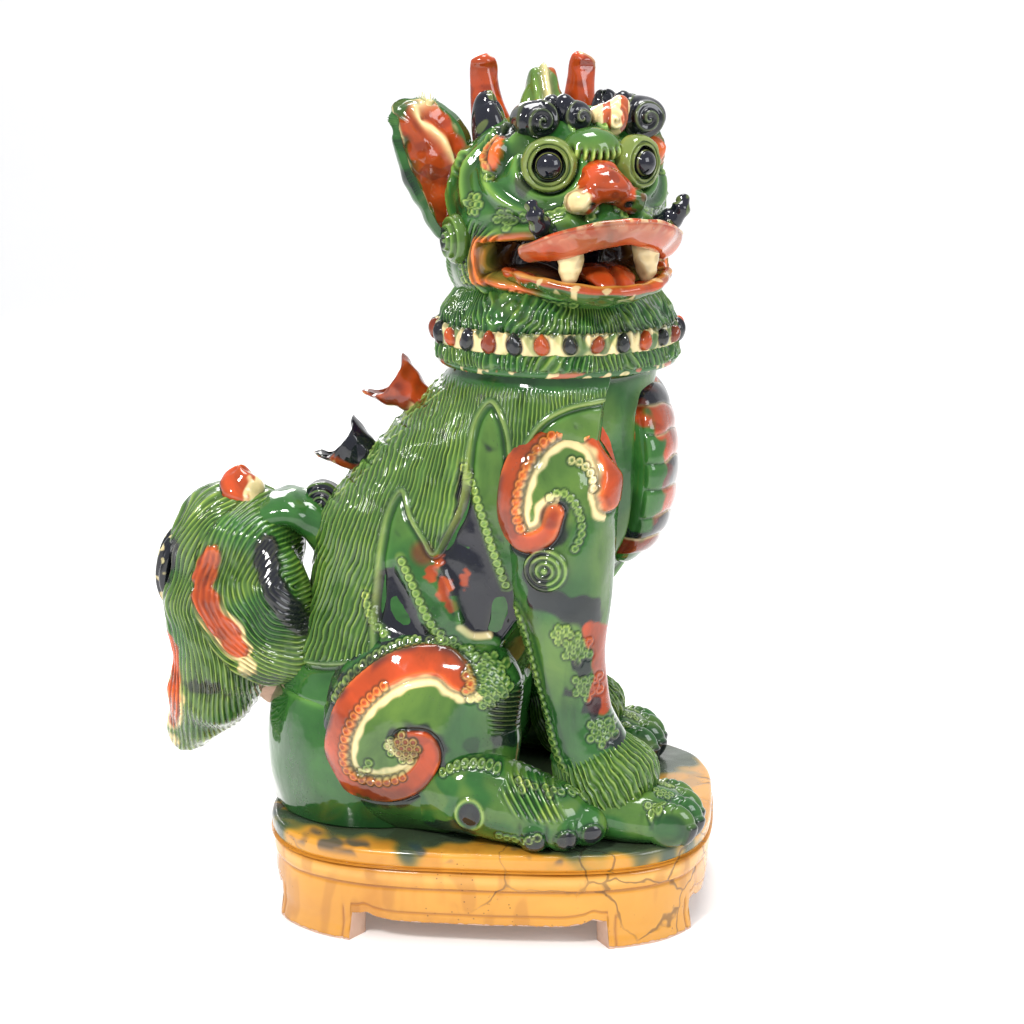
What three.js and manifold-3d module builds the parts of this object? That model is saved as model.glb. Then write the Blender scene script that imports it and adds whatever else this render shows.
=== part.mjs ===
// Seated guardian lion in sancai-glazed stoneware, on an oval footed plinth.
// Millimetres, +Z up. The lion faces +X and its right flank faces -Y; its head is turned to its right.
// Every luted-on piece of clay is its own mesh. The head lifts out of the neck and turns in it,
// and each eyeball is loose in its socket. The figure is hollow: torso, head and plinth are shells.
import * as THREE from "three";
import { mergeVertices } from "three/addons/utils/BufferGeometryUtils.js";
import Module from "manifold-3d";

const wasm = await Module();
wasm.setup();

// ---- driving dimensions -------------------------------------------------------------------
const SEAM = 0.4; // gap left along every luted seam
const PLINTH = {
  halfLength: 138,
  halfWidth: 118,
  height: 60,
  squareness: 3.2, // exponent of the oval outline, 2 is an ellipse
  wall: 12,
  rimHeight: 11, // upright band of the deck slab
  apronHeight: 17, // clear height under the apron
  archAlong: 0.57, // the arch between two feet, as a part of the half length
  archAcross: 0.63, // and of the half width
  ventLength: 34, // half lengths of the hole that lets the kiln air out
  ventWidth: 22,
  ventX: -60,
};
const BODY_WALL = 9;
const NECK = { x: 38, radius: 62, top: 292, clearance: 1.5 };
const RUFF = { flare: 11, wall: 8.5, drop: 15, height: 41, drops: 28 };
const SPIGOT = { wall: 8, depth: 34 };
const HEAD = { turn: -63, wall: 9, centre: 368 };
const EYE = { radius: 8.5, clearance: 0.9, socketWall: 4.6, forward: 55, side: 29, up: 400 };
const FORELEG = { side: 66, rightX: 0, leftX: -26 };
const PAW = { length: 66, halfWidth: 27, height: 31 };
const TOES = [-20, -7, 7, 20].map((aside) => [4 - Math.abs(aside) / 3, aside]); // [ahead, aside]
// The hind foot is turned outward: its toes in order from the heel, [x, y, z].
const HIND_TOES = [
  [33, 105, 12],
  [49, 104, 12],
  [62, 97, 13],
  [67, 84, 13],
];
const SCROLL = { halfWidth: 8, proud: 4.5 };
const CAPE = { proud: 3.2 };

// ---- shapes -------------------------------------------------------------------------------
const RIGHT = -1;
const LEFT = 1;
const vec = (x, y, z) => new THREE.Vector3(x, y, z);
const rad = THREE.MathUtils.degToRad;
const power = (c, n) => Math.sign(c) * Math.abs(c) ** (2 / n);

// A closed skin over rings of points: side walls between rings, and a fan over each end ring.
function skin(rings) {
  const n = rings[0].length;
  const points = rings.flat();
  const faces = [];
  for (let k = 0; k + 1 < rings.length; k++)
    for (let i = 0; i < n; i++) {
      const a = k * n + i;
      const b = k * n + ((i + 1) % n);
      faces.push(a, b, b + n, a, b + n, a + n);
    }
  for (const [ring, first, flip] of [
    [rings[0], 0, true],
    [rings.at(-1), (rings.length - 1) * n, false],
  ]) {
    const middle = ring.reduce((s, p) => s.add(p), vec(0, 0, 0)).divideScalar(n);
    points.push(middle);
    for (let i = 0; i < n; i++) {
      const edge = [first + i, first + ((i + 1) % n)];
      faces.push(...(flip ? edge.reverse() : edge), points.length - 1);
    }
  }
  const geometry = new THREE.BufferGeometry().setFromPoints(points);
  geometry.setIndex(faces);
  return geometry;
}

// A three.js geometry as a solid with its faces pointing out.
function solid(geometry) {
  const bare = geometry.index ? geometry.toNonIndexed() : geometry.clone();
  bare.deleteAttribute("normal");
  bare.deleteAttribute("uv");
  const merged = mergeVertices(bare, 1e-3);
  const position = merged.getAttribute("position").array;
  const corner = (i) => vec(position[3 * i], position[3 * i + 1], position[3 * i + 2]);
  const index = merged.index.array;
  const kept = [];
  let volume = 0;
  for (let i = 0; i < index.length; i += 3) {
    const [a, b, c] = index.slice(i, i + 3);
    if (a === b || b === c || a === c) continue;
    volume += corner(a).dot(corner(b).cross(corner(c)));
    kept.push(a, b, c);
  }
  if (volume < 0) kept.reverse();
  return new wasm.Manifold(
    new wasm.Mesh({ numProp: 3, vertProperties: position, triVerts: new Uint32Array(kept) }),
  );
}

// An oval ring in a level plane, from its back, front and half width.
function ovalRing(z, back, front, halfWidth, squareness = 2, sides = 16) {
  const ring = [];
  for (let i = 0; i < sides; i++) {
    const a = (2 * Math.PI * (i + 0.5)) / sides;
    const x = (front + back) / 2 + ((front - back) / 2) * power(Math.cos(a), squareness);
    ring.push(vec(x, halfWidth * power(Math.sin(a), squareness), z));
  }
  return ring;
}

// A limb: oval sections across a path. Each station is [x, y, z, half thickness, half width],
// where the width lies along `across` and the thickness square to it and to the path.
function limb(stations, across, grow = 0, sides = 12) {
  const at = stations.map(([x, y, z]) => vec(x, y, z));
  const rings = stations.map(([, , , thick, wide], k) => {
    const ahead = at[Math.min(k + 1, at.length - 1)];
    const behind = at[Math.max(k - 1, 0)];
    const along = ahead.clone().sub(behind).normalize();
    const side = across.clone().addScaledVector(along, -across.dot(along)).normalize();
    const up = along.clone().cross(side);
    const end = k === 0 ? -grow : k === at.length - 1 ? grow : 0;
    const centre = at[k].clone().addScaledVector(along, end);
    return Array.from({ length: sides }, (_, i) => {
      const a = (2 * Math.PI * i) / sides;
      return centre
        .clone()
        .addScaledVector(side, (wide + grow) * Math.cos(a))
        .addScaledVector(up, (thick + grow) * Math.sin(a));
    });
  });
  return solid(skin(rings));
}

// An ellipsoid, from its middle and half sizes.
function blob(middle, halfSizes, grow = 0, sides = 12) {
  const ball = new THREE.SphereGeometry(1, sides, Math.round(sides * 0.6));
  ball.rotateX(Math.PI / 2);
  ball.scale(...halfSizes.map((s) => s + grow)).translate(...middle);
  return solid(ball);
}

// A ring or disc turned on a lathe about Z, from a profile of [radius, height] points.
function turned(profile, sides = 28) {
  const points = [...profile, profile[0]].map(([r, z]) => new THREE.Vector2(r, z));
  return solid(new THREE.LatheGeometry(points, sides).rotateX(Math.PI / 2));
}

// Moves, turns and then places a solid made about the origin.
function placed(shape, x, y, z, turnZ = 0, tiltY = 0) {
  return shape.rotate([0, tiltY, 0]).rotate([0, 0, turnZ]).translate([x, y, z]);
}

// The largest piece of a solid that cutting has left in several.
function whole(shape) {
  return shape.decompose().sort((a, b) => b.volume() - a.volume())[0];
}

// ---- glaze colours ------------------------------------------------------------------------
const glaze = (color, roughness = 0.18) =>
  new THREE.MeshStandardMaterial({ color, roughness, metalness: 0 });
const GREEN = glaze(0x2f7a3a);
const LEAF = glaze(0x6f9a45);
const AMBER = glaze(0xd08a1e, 0.25);
const ORANGE = glaze(0xb8431a);
const BLACK = glaze(0x14161c, 0.12);
const CREAM = glaze(0xe3cf96, 0.3);
const CLAY = glaze(0xc9a98c, 0.8);

// ---- assembly -----------------------------------------------------------------------------
// Each piece gives shape(grow); with grow = SEAM it is what a later piece is cut back by.
const made = [];
function lute(group, name, material, shape, { cutter = shape, over = [] } = {}) {
  let body = shape(0);
  const box = body.boundingBox();
  for (const other of made) {
    if (other.group !== group || over.includes(other.name)) continue;
    const b = other.cut.boundingBox();
    if ([0, 1, 2].some((i) => box.min[i] > b.max[i] || box.max[i] < b.min[i])) continue;
    body = body.subtract(other.cut);
  }
  body = whole(body);
  const data = body.getMesh();
  const geometry = new THREE.BufferGeometry();
  geometry.setAttribute("position", new THREE.BufferAttribute(data.vertProperties, 3));
  geometry.setIndex(new THREE.BufferAttribute(data.triVerts, 1));
  geometry.computeVertexNormals();
  const mesh = new THREE.Mesh(geometry, material);
  mesh.name = name;
  group.add(mesh);
  made.push({ group, name, cut: cutter(SEAM) });
}

const root = new THREE.Group();
const lion = new THREE.Group(); // stands on the deck
const head = new THREE.Group(); // face along +X, before it is turned to the lion's right
lion.position.z = PLINTH.height;
head.position.set(NECK.x, 0, 0);
head.rotation.set(0, 0, rad(HEAD.turn));
root.add(lion);
lion.add(head);

// ---- plinth -------------------------------------------------------------------------------
function ovalSlab(levels, squareness = PLINTH.squareness, sides = 40) {
  return solid(
    skin(
      levels.map(([z, inset]) => {
        const halfLength = PLINTH.halfLength - inset;
        return ovalRing(z, -halfLength, halfLength, PLINTH.halfWidth - inset, squareness, sides);
      }),
    ),
  );
}
const rimBottom = PLINTH.height - PLINTH.rimHeight;
const { ventLength, ventWidth, ventX } = PLINTH;
const vent = solid(
  skin([-1, PLINTH.height + 1].map((z) => ovalRing(z, -ventLength, ventLength, ventWidth))),
).translate([ventX, 0, 0]);
lute(root, "plinth_deck", AMBER, (grow) =>
  ovalSlab([
    [rimBottom - grow, 1 - grow],
    [rimBottom + 3, -grow],
    [PLINTH.height - 2, -grow],
    [PLINTH.height, 2 - grow],
  ]).subtract(vent),
);

// A beam through the plinth from side to side leaves the bracket feet standing at its corners.
function archBeam(lengthX, lengthY) {
  const beam = new THREE.BoxGeometry(lengthX, lengthY, 2 * PLINTH.apronHeight);
  return solid(beam);
}
lute(root, "plinth_wall", AMBER, () => {
  const { halfLength, halfWidth, apronHeight } = PLINTH;
  const across = archBeam(2 * PLINTH.archAlong * halfLength, 3 * halfWidth);
  const along = archBeam(3 * halfLength, 2 * PLINTH.archAcross * halfWidth);
  return ovalSlab([
    [0, 0.5],
    [apronHeight - 3, 3],
    [apronHeight + 5, 2],
    [32, 2.5],
    [36, 2],
    [38, 0.5],
    [rimBottom - 4, 0.5],
    [rimBottom - SEAM, 3],
  ])
    .subtract(ovalSlab([-1, rimBottom + 1].map((z) => [z, 3 + PLINTH.wall])))
    .subtract(across)
    .subtract(along);
});

// ---- torso --------------------------------------------------------------------------------
// Level sections: [height above the deck, back, front, half width].
const neckBack = NECK.x - NECK.radius;
const neckFront = NECK.x + NECK.radius;
const TORSO = [
  [SEAM, -141, -8, 82],
  [30, -145, 2, 86],
  [60, -143, 14, 85],
  [90, -131, 30, 82],
  [120, -118, 52, 80],
  [150, -111, 78, 78],
  [180, -107, 97, 76],
  [210, -83, neckFront + 3, NECK.radius + 12],
  [240, neckBack - 32, neckFront + 2, NECK.radius + 9],
  [262, neckBack - 10, neckFront - 1, NECK.radius + 5],
  [275, neckBack, neckFront, NECK.radius],
  [NECK.top, neckBack, neckFront, NECK.radius],
];
function torsoSolid(grow) {
  const last = TORSO.length - 1;
  return solid(
    skin(
      TORSO.map(([z, back, front, halfWidth], k) =>
        ovalRing(z + (k === last ? grow : 0), back - grow, front + grow, halfWidth + grow, 2, 28),
      ),
    ),
  );
}
lute(
  lion,
  "torso",
  GREEN,
  () => {
    const hollow = TORSO.map(([z, back, front, halfWidth], k) => {
      const low = k === 0 ? -1 : z;
      return ovalRing(low, back + BODY_WALL, front - BODY_WALL, halfWidth - BODY_WALL, 2, 28);
    });
    hollow.at(-1).forEach((p) => (p.z += 1));
    return torsoSolid(0).subtract(solid(skin(hollow)));
  },
  { cutter: torsoSolid },
);

// ---- legs ---------------------------------------------------------------------------------
const acrossY = vec(0, 1, 0);
const bothSides = [
  [RIGHT, "right"],
  [LEFT, "left"],
];
const stepOf = (side) => (side === RIGHT ? FORELEG.rightX : FORELEG.leftX);
const haunchShape = (side) => (grow) =>
  blob([-40, side * 62, 60], [62, 40, 66], grow, 16)
    .add(blob([-6, side * 66, 88], [29, 30, 30], grow))
    .trimByPlane([0, 0, 1], SEAM - grow);
const forelegShape = (side) => (grow) => {
  const x = stepOf(side);
  const y = side * FORELEG.side;
  return limb(
    [
      [x + 40, side * 48, 240, 26, 18],
      [x + 39, side * 56, 216, 41, 28],
      [x + 44, side * 59, 180, 34, 30],
      [x + 46, side * 62, 150, 30, 27],
      [x + 50, y, 110, 23, 23],
      [x + 57, y, 75, 20, 21],
      [x + 66, y, 45, 24, 24],
      [x + 72, y, 26, 20, 20],
    ],
    acrossY,
    grow,
  );
};
for (const [side, word] of bothSides) {
  const step = stepOf(side);
  const y = side * FORELEG.side;
  lute(lion, "haunch_" + word, GREEN, haunchShape(side));
  lute(lion, "foreleg_" + word, GREEN, forelegShape(side));
  lute(lion, "leg_fringe_" + word, LEAF, (grow) =>
    limb(
      [
        [step + 58, y, 56, 27, 27],
        [step + 66, y, 44, 34, 31],
        [step + 76, y, 28, 32, 32],
        [step + 80, y, 20, 22, 24],
      ],
      acrossY,
      grow,
    ),
  );
  lute(lion, "forepaw_" + word, LEAF, (grow) => {
    const heel = step + 60;
    const { length, halfWidth, height } = PAW;
    const toes = TOES.map(([ahead, aside]) =>
      blob([heel + length - 10 + ahead, side * 72 + aside, height * 0.42], [15, 7.5, 12], grow, 8),
    );
    const foot = limb(
      [
        [heel - 4, side * 70, height * 0.45, height * 0.3, halfWidth * 0.6],
        [heel + length * 0.2, side * 71, height * 0.5, height * 0.5, halfWidth * 0.9],
        [heel + length * 0.55, side * 72, height * 0.5, height * 0.5, halfWidth],
        [heel + length * 0.85, side * 72, height * 0.42, height * 0.4, halfWidth * 0.95],
        [heel + length - 4, side * 72, height * 0.34, height * 0.2, halfWidth * 0.6],
      ],
      acrossY,
      grow,
    );
    return toes.reduce((a, b) => a.add(b), foot).trimByPlane([0, 0, 1], SEAM - grow);
  });
  lute(lion, "hind_foot_" + word, LEAF, (grow) => {
    const toes = HIND_TOES.map(([x, y, z]) => blob([x, side * y, z], [14, 11, 12], grow, 8));
    const foot = limb(
      [
        [-34, side * 78, 30, 24, 20],
        [-8, side * 84, 34, 30, 26],
        [22, side * 89, 26, 26, 27],
        [44, side * 92, 20, 20, 27],
        [60, side * 94, 15, 13, 23],
        [68, side * 94, 12, 7, 14],
      ],
      acrossY,
      grow,
    );
    return toes.reduce((a, b) => a.add(b), foot).trimByPlane([0, 0, 1], SEAM - grow);
  });
}

// ---- relief on the body -------------------------------------------------------------------
// A flat bar laid on the flank: its outline is drawn in the XZ plane and it is sunk from outside
// into the body, so that it stands `proud` of the skin beneath it.
function flankBar(outline, side, outer, inner) {
  const depth = outer - inner;
  const bar = new THREE.ExtrudeGeometry(outline, { depth, bevelEnabled: false, curveSegments: 3 });
  bar.rotateX(Math.PI / 2).translate(0, side < 0 ? -inner : outer, 0);
  return solid(bar);
}

// The outline of a ribbon that follows a spiral which closes in from `outerRadius` to `innerRadius`.
function scrollOutline(cx, cz, outerRadius, innerRadius, from, turn, halfWidth, steps = 14) {
  const edge = [1, -1].map((s) =>
    Array.from({ length: steps + 1 }, (_, i) => {
      const t = i / steps;
      const a = rad(from + turn * t);
      const r = THREE.MathUtils.lerp(outerRadius, innerRadius, t) + s * halfWidth * (1 - 0.35 * t);
      return new THREE.Vector2(cx + r * Math.cos(a), cz + r * Math.sin(a));
    }),
  );
  return new THREE.Shape([...edge[0], ...edge[1].reverse()]);
}

// A relief piece is its flank bar, kept only within `proud` of the grown body pieces under it.
function onBody(bar, bodies, proud) {
  const near = bodies.map((shape) => shape(proud)).reduce((a, b) => a.add(b));
  return near.intersect(bar);
}

for (const [side, word] of bothSides) {
  const step = stepOf(side);
  const reach = 130;
  const scrolls = [
    ["shoulder_scroll_", [step + 42, 206, 27, 7, -20, 400], [forelegShape(side), torsoSolid]],
    ["haunch_scroll_", [-44, 66, 40, 9, 55, 400], [haunchShape(side)]],
  ];
  for (const [name, spiral, bodies] of scrolls)
    lute(lion, name + word, ORANGE, (grow) => {
      const bar = flankBar(scrollOutline(...spiral, SCROLL.halfWidth + grow), side, reach, 40);
      return onBody(bar, bodies, SCROLL.proud + grow);
    });
  lute(lion, "elbow_rosette_" + word, LEAF, (grow) =>
    blob([step + 38, side * 88, 160], [14, 8, 14], grow, 10),
  );
}

// Chest shield of cross plates, down the front between the forelegs.
lute(lion, "chest_plates", ORANGE, (grow) =>
  limb(
    [
      [84, 0, 262, 14, 26],
      [92, 0, 244, 16, 38],
      [95, 0, 215, 17, 44],
      [91, 0, 186, 17, 40],
      [80, 0, 166, 14, 30],
    ],
    acrossY,
    grow,
  ),
);

// Combed cape of hair over the back: a shell over the torso that ends below in hanging points,
// given as [x, z] of each point and of the arch that follows it.
const capeTop = 266; // stays below the neck, clear of the ruff
const capeHem = [
  [-88, 108],
  [-62, 196],
  [-44, 150],
  [-22, 236],
  [2, 188],
  [18, 262],
];
const capeOutline = () =>
  new THREE.Shape([
    new THREE.Vector2(-130, capeTop + 20),
    new THREE.Vector2(-130, capeHem[0][1] + 34),
    ...new THREE.SplineCurve(capeHem.map(([x, z]) => new THREE.Vector2(x, z))).getPoints(30),
    new THREE.Vector2(24, capeTop + 20),
  ]);
for (const [side, word] of bothSides)
  lute(lion, "mane_cape_" + word, GREEN, (grow) =>
    torsoSolid(CAPE.proud + grow)
      .intersect(flankBar(capeOutline(), side, 120, SEAM / 2 - grow / 2))
      .trimByPlane([0, 0, -1], -capeTop),
  );

// Tail plume, standing up from the back and curling down behind to two points.
lute(lion, "tail_root", GREEN, (grow) =>
  limb(
    [
      [-98, 0, 160, 16, 22],
      [-112, 0, 174, 14, 24],
      [-128, 0, 180, 13, 26],
      [-144, 0, 176, 12, 26],
    ],
    acrossY,
    grow,
  ),
);
lute(lion, "tail_plume", LEAF, (grow) => {
  const plume = limb(
    [
      [-150, 0, 193, 14, 22],
      [-157, 0, 182, 34, 34],
      [-163, 0, 158, 43, 40],
      [-166, -4, 128, 44, 44],
      [-165, -6, 100, 42, 44],
      [-172, -6, 76, 35, 36],
      [-186, -4, 54, 22, 24],
      [-206, 0, 28, 6, 8],
    ],
    acrossY,
    grow,
    16,
  );
  const flap = blob([-128, -30, 98], [30, 20, 24], grow).add(blob([-134, -28, 128], [22, 22, 34], grow));
  return plume.add(flap);
});
// A bare clay prop under the plume carries its weight to the rump.
lute(lion, "tail_prop", CLAY, (grow) =>
  limb(
    [
      [-152, -10, 74, 10, 12],
      [-142, -10, 70, 11, 13],
      [-132, -8, 66, 12, 14],
      [-124, -6, 64, 11, 12],
    ],
    acrossY,
    grow,
    8,
  ),
);
for (const [name, material, x, y, z, size] of [
  ["tail_knob", ORANGE, -161, -6, 194, 13],
  ["tail_edge_curl", BLACK, -204, -4, 140, 13],
  ["back_tuft_small", BLACK, -107, 0, 190, 9],
])
  lute(lion, name, material, (grow) => blob([x, y, z], [size, size, size * 0.8], grow, 8));

// Tufts along the spine: each grows out of the back and flares to an open cup.
for (const [name, material, x, z] of [
  ["back_tuft_upper", ORANGE, -47, 248],
  ["back_tuft_lower", BLACK, -78, 209],
])
  lute(lion, name, material, (grow) => {
    const flare = limb(
      [
        [x + 16, 0, z - 14, 7, 9],
        [x, 0, z + 2, 10, 12],
        [x - 10, 0, z + 10, 14, 14],
        [x - 19, 0, z + 17, 17, 15],
      ],
      acrossY,
      grow,
      10,
    );
    const mouth = limb(
      [
        [x - 4, 0, z + 5, 5, 6],
        [x - 12, 0, z + 12, 11, 10],
        [x - 24, 0, z + 21, 16, 14],
      ],
      acrossY,
      -grow,
      10,
    );
    return flare.subtract(mouth);
  });

// ---- head seat ----------------------------------------------------------------------------
const boreRadius = NECK.radius - BODY_WALL;
const spigotOuter = boreRadius - NECK.clearance;
const spigotInner = spigotOuter - SPIGOT.wall;
const seatTop = NECK.top + SEAM;
lute(
  lion,
  "neck_spigot",
  CLAY,
  () => {
    const low = NECK.top - SPIGOT.depth;
    return turned([
      [spigotInner, low],
      [spigotOuter - 2, low],
      [spigotOuter, low + 6],
      [spigotOuter, NECK.top],
      [spigotInner, NECK.top],
    ]).translate([NECK.x, 0, 0]);
  },
  { over: ["torso"] },
);

// The ruff's skirt hangs round the neck and its web rests on the neck's rim.
const skirtInner = NECK.radius + NECK.clearance;
const skirtOuter = skirtInner + RUFF.wall;
lute(head, "collar_ruff", GREEN, (grow) =>
  turned([
    [spigotInner + 2 - grow, seatTop - grow],
    [skirtInner - grow, seatTop - grow],
    [skirtInner - grow, seatTop - RUFF.drop - grow],
    [skirtOuter + grow, seatTop - RUFF.drop - grow],
    [skirtOuter + 1.5 + grow, seatTop - RUFF.drop * 0.4],
    [skirtOuter - 4 + grow, seatTop + 9],
    [skirtOuter - RUFF.flare + grow, seatTop + RUFF.height - RUFF.drop],
    [spigotInner + 2 - grow, seatTop + RUFF.height - RUFF.drop + grow],
  ]),
);
lute(head, "collar_bead_strap", CREAM, (grow) => {
  const strap = turned([
    [skirtOuter - 6 - grow, seatTop - 1 - grow],
    [skirtOuter + 1.5 + grow, seatTop - 1 - grow],
    [skirtOuter + grow, seatTop + 10 + grow],
    [skirtOuter - 8 - grow, seatTop + 10 + grow],
  ]);
  const drop = blob([skirtOuter + 1, 0, seatTop + 4.5], [3, 4.3, 6.2], grow, 7);
  const pitch = 360 / RUFF.drops;
  const ring = Array.from({ length: RUFF.drops }, (_, i) => drop.rotate([0, 0, pitch * i]));
  return ring.reduce((a, b) => a.add(b), strap);
});

// ---- head shell ---------------------------------------------------------------------------
const { centre } = HEAD;
const headBase = seatTop + RUFF.height - RUFF.drop + SEAM;
// Level sections of the skull and jaw: [height above the middle, back, front, half width].
const SKULL = [
  [headBase - centre, -54, 46, 56],
  [-32, -60, 56, 65],
  [-8, -65, 62, 69],
  [20, -64, 64, 66],
  [40, -55, 58, 58],
  [55, -38, 44, 42],
  [62, -14, 20, 18],
];
function headSolid(grow, shrink = 0) {
  const s = grow - shrink;
  const skull = SKULL.map(([z, back, front, half], k) => {
    const rise = k === 0 ? -grow : (s * k) / (SKULL.length - 1);
    return ovalRing(centre + z + rise - (shrink && k === 0 ? 2 : 0), back - s, front + s, half + s, 2, 24);
  });
  const muzzle = limb(
    [
      [20, 0, centre - 12, 34 + s, 50 + s],
      [52, 0, centre - 14, 30 + s, 46 + s],
      [76, 0, centre - 16, 22 + s, 36 + s],
      [84 + s, 0, centre - 16, 14 + s / 2, 24 + s],
    ],
    acrossY,
    0,
    14,
  );
  return solid(skin(skull)).add(muzzle).trimByPlane([0, 0, 1], headBase - grow - (shrink ? 2 : 0));
}
const eyeDirection = 24; // degrees that each eye looks out from straight ahead
const socketRadius = EYE.radius + EYE.clearance;
const eyeAt = (side) => [EYE.forward, side * EYE.side, EYE.up];
// The mouth runs right through the muzzle, between the upper and the lower lip.
const mouthCutter = (grow = 0) =>
  limb(
    [
      [10, 0, centre - 27, 8 - grow, 70 - grow],
      [60, 0, centre - 25, 14 - grow, 60 - grow],
      [100, 0, centre - 23, 17 - grow, 50 - grow],
      [120, 0, centre - 22, 17 - grow, 40 - grow],
    ],
    acrossY,
    0,
    12,
  );
lute(
  head,
  "head_shell",
  GREEN,
  () => {
    let shell = headSolid(0).subtract(headSolid(0, HEAD.wall)).subtract(mouthCutter());
    for (const [side] of bothSides)
      shell = shell.subtract(blob(eyeAt(side), [1, 1, 1], socketRadius, 16));
    return shell;
  },
  { cutter: (grow) => headSolid(grow).subtract(mouthCutter(grow)) },
);

for (const [side, word] of bothSides) {
  const aim = side * eyeDirection;
  // A ring round the eyeball, sunk into the skull behind; its hole is a ball seat.
  lute(
    head,
    "eye_socket_" + word,
    LEAF,
    (grow) => {
      const ring = turned([
        [0, -2],
        [socketRadius + EYE.socketWall + grow, -2],
        [socketRadius + EYE.socketWall - 1 + grow, 3],
        [socketRadius, EYE.radius * 0.55],
        [0, EYE.radius * 0.55],
      ], 16);
      const aimed = placed(ring, EYE.forward, side * EYE.side, EYE.up, aim, 90);
      return aimed.subtract(blob(eyeAt(side), [1, 1, 1], socketRadius - 1, 16));
    },
  );
  lute(
    head,
    "eyeball_" + word,
    BLACK,
    () => {
      const ball = new THREE.SphereGeometry(EYE.radius, 14, 10);
      return solid(ball.rotateZ(Math.PI / 2)).translate(eyeAt(side));
    },
    { over: ["head_shell", "eye_socket_" + word] },
  );
}

// ---- mouth --------------------------------------------------------------------------------
// A lip is a bar bent round the front of the muzzle in a level half ring.
function lip(reach, halfSpan, z, thick, wide, droop, grow) {
  const stations = [];
  const steps = 10;
  for (let i = 0; i <= steps; i++) {
    const a = Math.PI * (i / steps - 0.5);
    const taper = 0.35 + 0.65 * Math.cos(a);
    stations.push([
      reach * Math.cos(a) * 0.62 + 38,
      halfSpan * Math.sin(a),
      z + droop * Math.abs(Math.sin(a)),
      thick * taper,
      wide * taper,
    ]);
  }
  return limb(stations, vec(0, 0, 1), grow, 8);
}
lute(head, "upper_lip", ORANGE, (grow) => lip(92, 44, centre - 9, 15, 5, -9, grow));
lute(head, "lower_lip", ORANGE, (grow) => lip(76, 40, centre - 41, 11, 5, 8, grow));
lute(head, "tongue", ORANGE, (grow) =>
  limb(
    [
      [40, 0, centre - 34, 4, 10],
      [60, 0, centre - 31, 5, 13],
      [78, 0, centre - 33, 4.5, 13],
      [90, 0, centre - 38, 3, 8],
    ],
    acrossY,
    grow,
    10,
  ),
);
for (const [side, word] of bothSides)
  lute(head, "fang_" + word, CREAM, (grow) =>
    limb(
      [
        [74, side * 24, centre - 14, 7, 7],
        [74, side * 24, centre - 24, 6, 6],
        [75, side * 24, centre - 36, 3, 3],
      ],
      acrossY,
      grow,
      8,
    ),
  );
lute(head, "nose", ORANGE, (grow) =>
  blob([69, 0, centre + 20], [16, 15, 11], grow, 12)
    .add(blob([70, -15, centre + 12], [11, 10, 8], grow, 10))
    .add(blob([70, 15, centre + 12], [11, 10, 8], grow, 10)),
);

// ---- ears, horns, curls -------------------------------------------------------------------
for (const [side, word] of bothSides) {
  // A cupped ear, widest near its top, hollowed from the front; the left one is swept back.
  const earAcross = vec(-0.3, side, 0).normalize();
  const [back, close] = side === RIGHT ? [0, 0] : [16, 10];
  const earLimb = (stations, grow) =>
    limb(
      stations.map(([x, y, z, thick, wide]) => [x - back, side * (y - close), centre + z, thick, wide]),
      earAcross,
      grow,
    );
  lute(head, "ear_" + word, GREEN, (grow) => {
    const leaf = earLimb(
      [
        [-6, 58, -14, 5, 7],
        [-9, 63, -4, 11, 15],
        [-13, 66, 12, 15, 20],
        [-18, 69, 28, 15, 23],
        [-23, 71, 42, 12, 23],
        [-29, 76, 52, 8, 19],
        [-35, 83, 60, 4, 11],
        [-40, 88, 65, 2, 4],
      ],
      grow,
    );
    const cup = earLimb(
      [
        [4, 66, 0, 8, 9],
        [0, 68, 14, 13, 14],
        [-4, 71, 28, 13, 16],
        [-10, 74, 42, 10, 14],
        [-20, 79, 52, 6, 8],
      ],
      -grow,
    );
    return leaf.subtract(cup);
  });
  lute(head, "horn_" + word, ORANGE, (grow) =>
    limb(
      [
        [-36, side * 26, centre + 42, 10, 12],
        [-38, side * 30, centre + 60, 7, 10.5],
        [-39, side * 32, centre + 76, 6, 9.5],
        [-37, side * 33, centre + 91.5, 4, 7],
      ],
      acrossY,
      grow,
      10,
    ),
  );
  lute(head, "hair_lobe_" + word, BLACK, (grow) =>
    limb(
      [
        [-14, side * 34, centre + 34, 13, 12],
        [-16, side * 38, centre + 54, 10, 10],
        [-17, side * 39, centre + 68, 4, 6],
      ],
      acrossY,
      grow,
      8,
    ),
  );
  lute(head, "cheek_rosette_" + word, LEAF, (grow) =>
    blob([2, side * 66, centre - 14], [14, 8, 14], grow, 10),
  );
  lute(head, "whisker_curl_" + word, BLACK, (grow) =>
    limb(
      [
        [66, side * 36, centre - 4, 6, 6],
        [74, side * 44, centre + 3, 6, 6],
        [74, side * 46, centre + 12, 4, 4],
      ],
      vec(1, 0, 0),
      grow,
      8,
    ),
  );
}
lute(head, "crest_knob", LEAF, (grow) =>
  limb(
    [
      [-22, 0, centre + 44, 13, 16],
      [-24, 0, centre + 66, 11, 13],
      [-24, 0, centre + 84, 4, 6],
    ],
    acrossY,
    grow,
    8,
  ),
);
for (const [name, material, x, y, z, halfSizes] of [
  ["brow_leaf_outer_right", BLACK, 30, -26, 50, [14, 14, 11]],
  ["brow_leaf_inner_right", BLACK, 36, -4, 52, [14, 10, 9]],
  ["brow_leaf_inner_left", CREAM, 36, 17, 50, [14, 11, 10]],
  ["brow_leaf_outer_left", BLACK, 26, 42, 50, [17, 16, 13]],
  ["forehead_boss", GREEN, 54, 0, 33, [10, 17, 11]],
])
  lute(head, name, material, (grow) => blob([x, y, centre + z], halfSizes, grow, 10));

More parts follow.
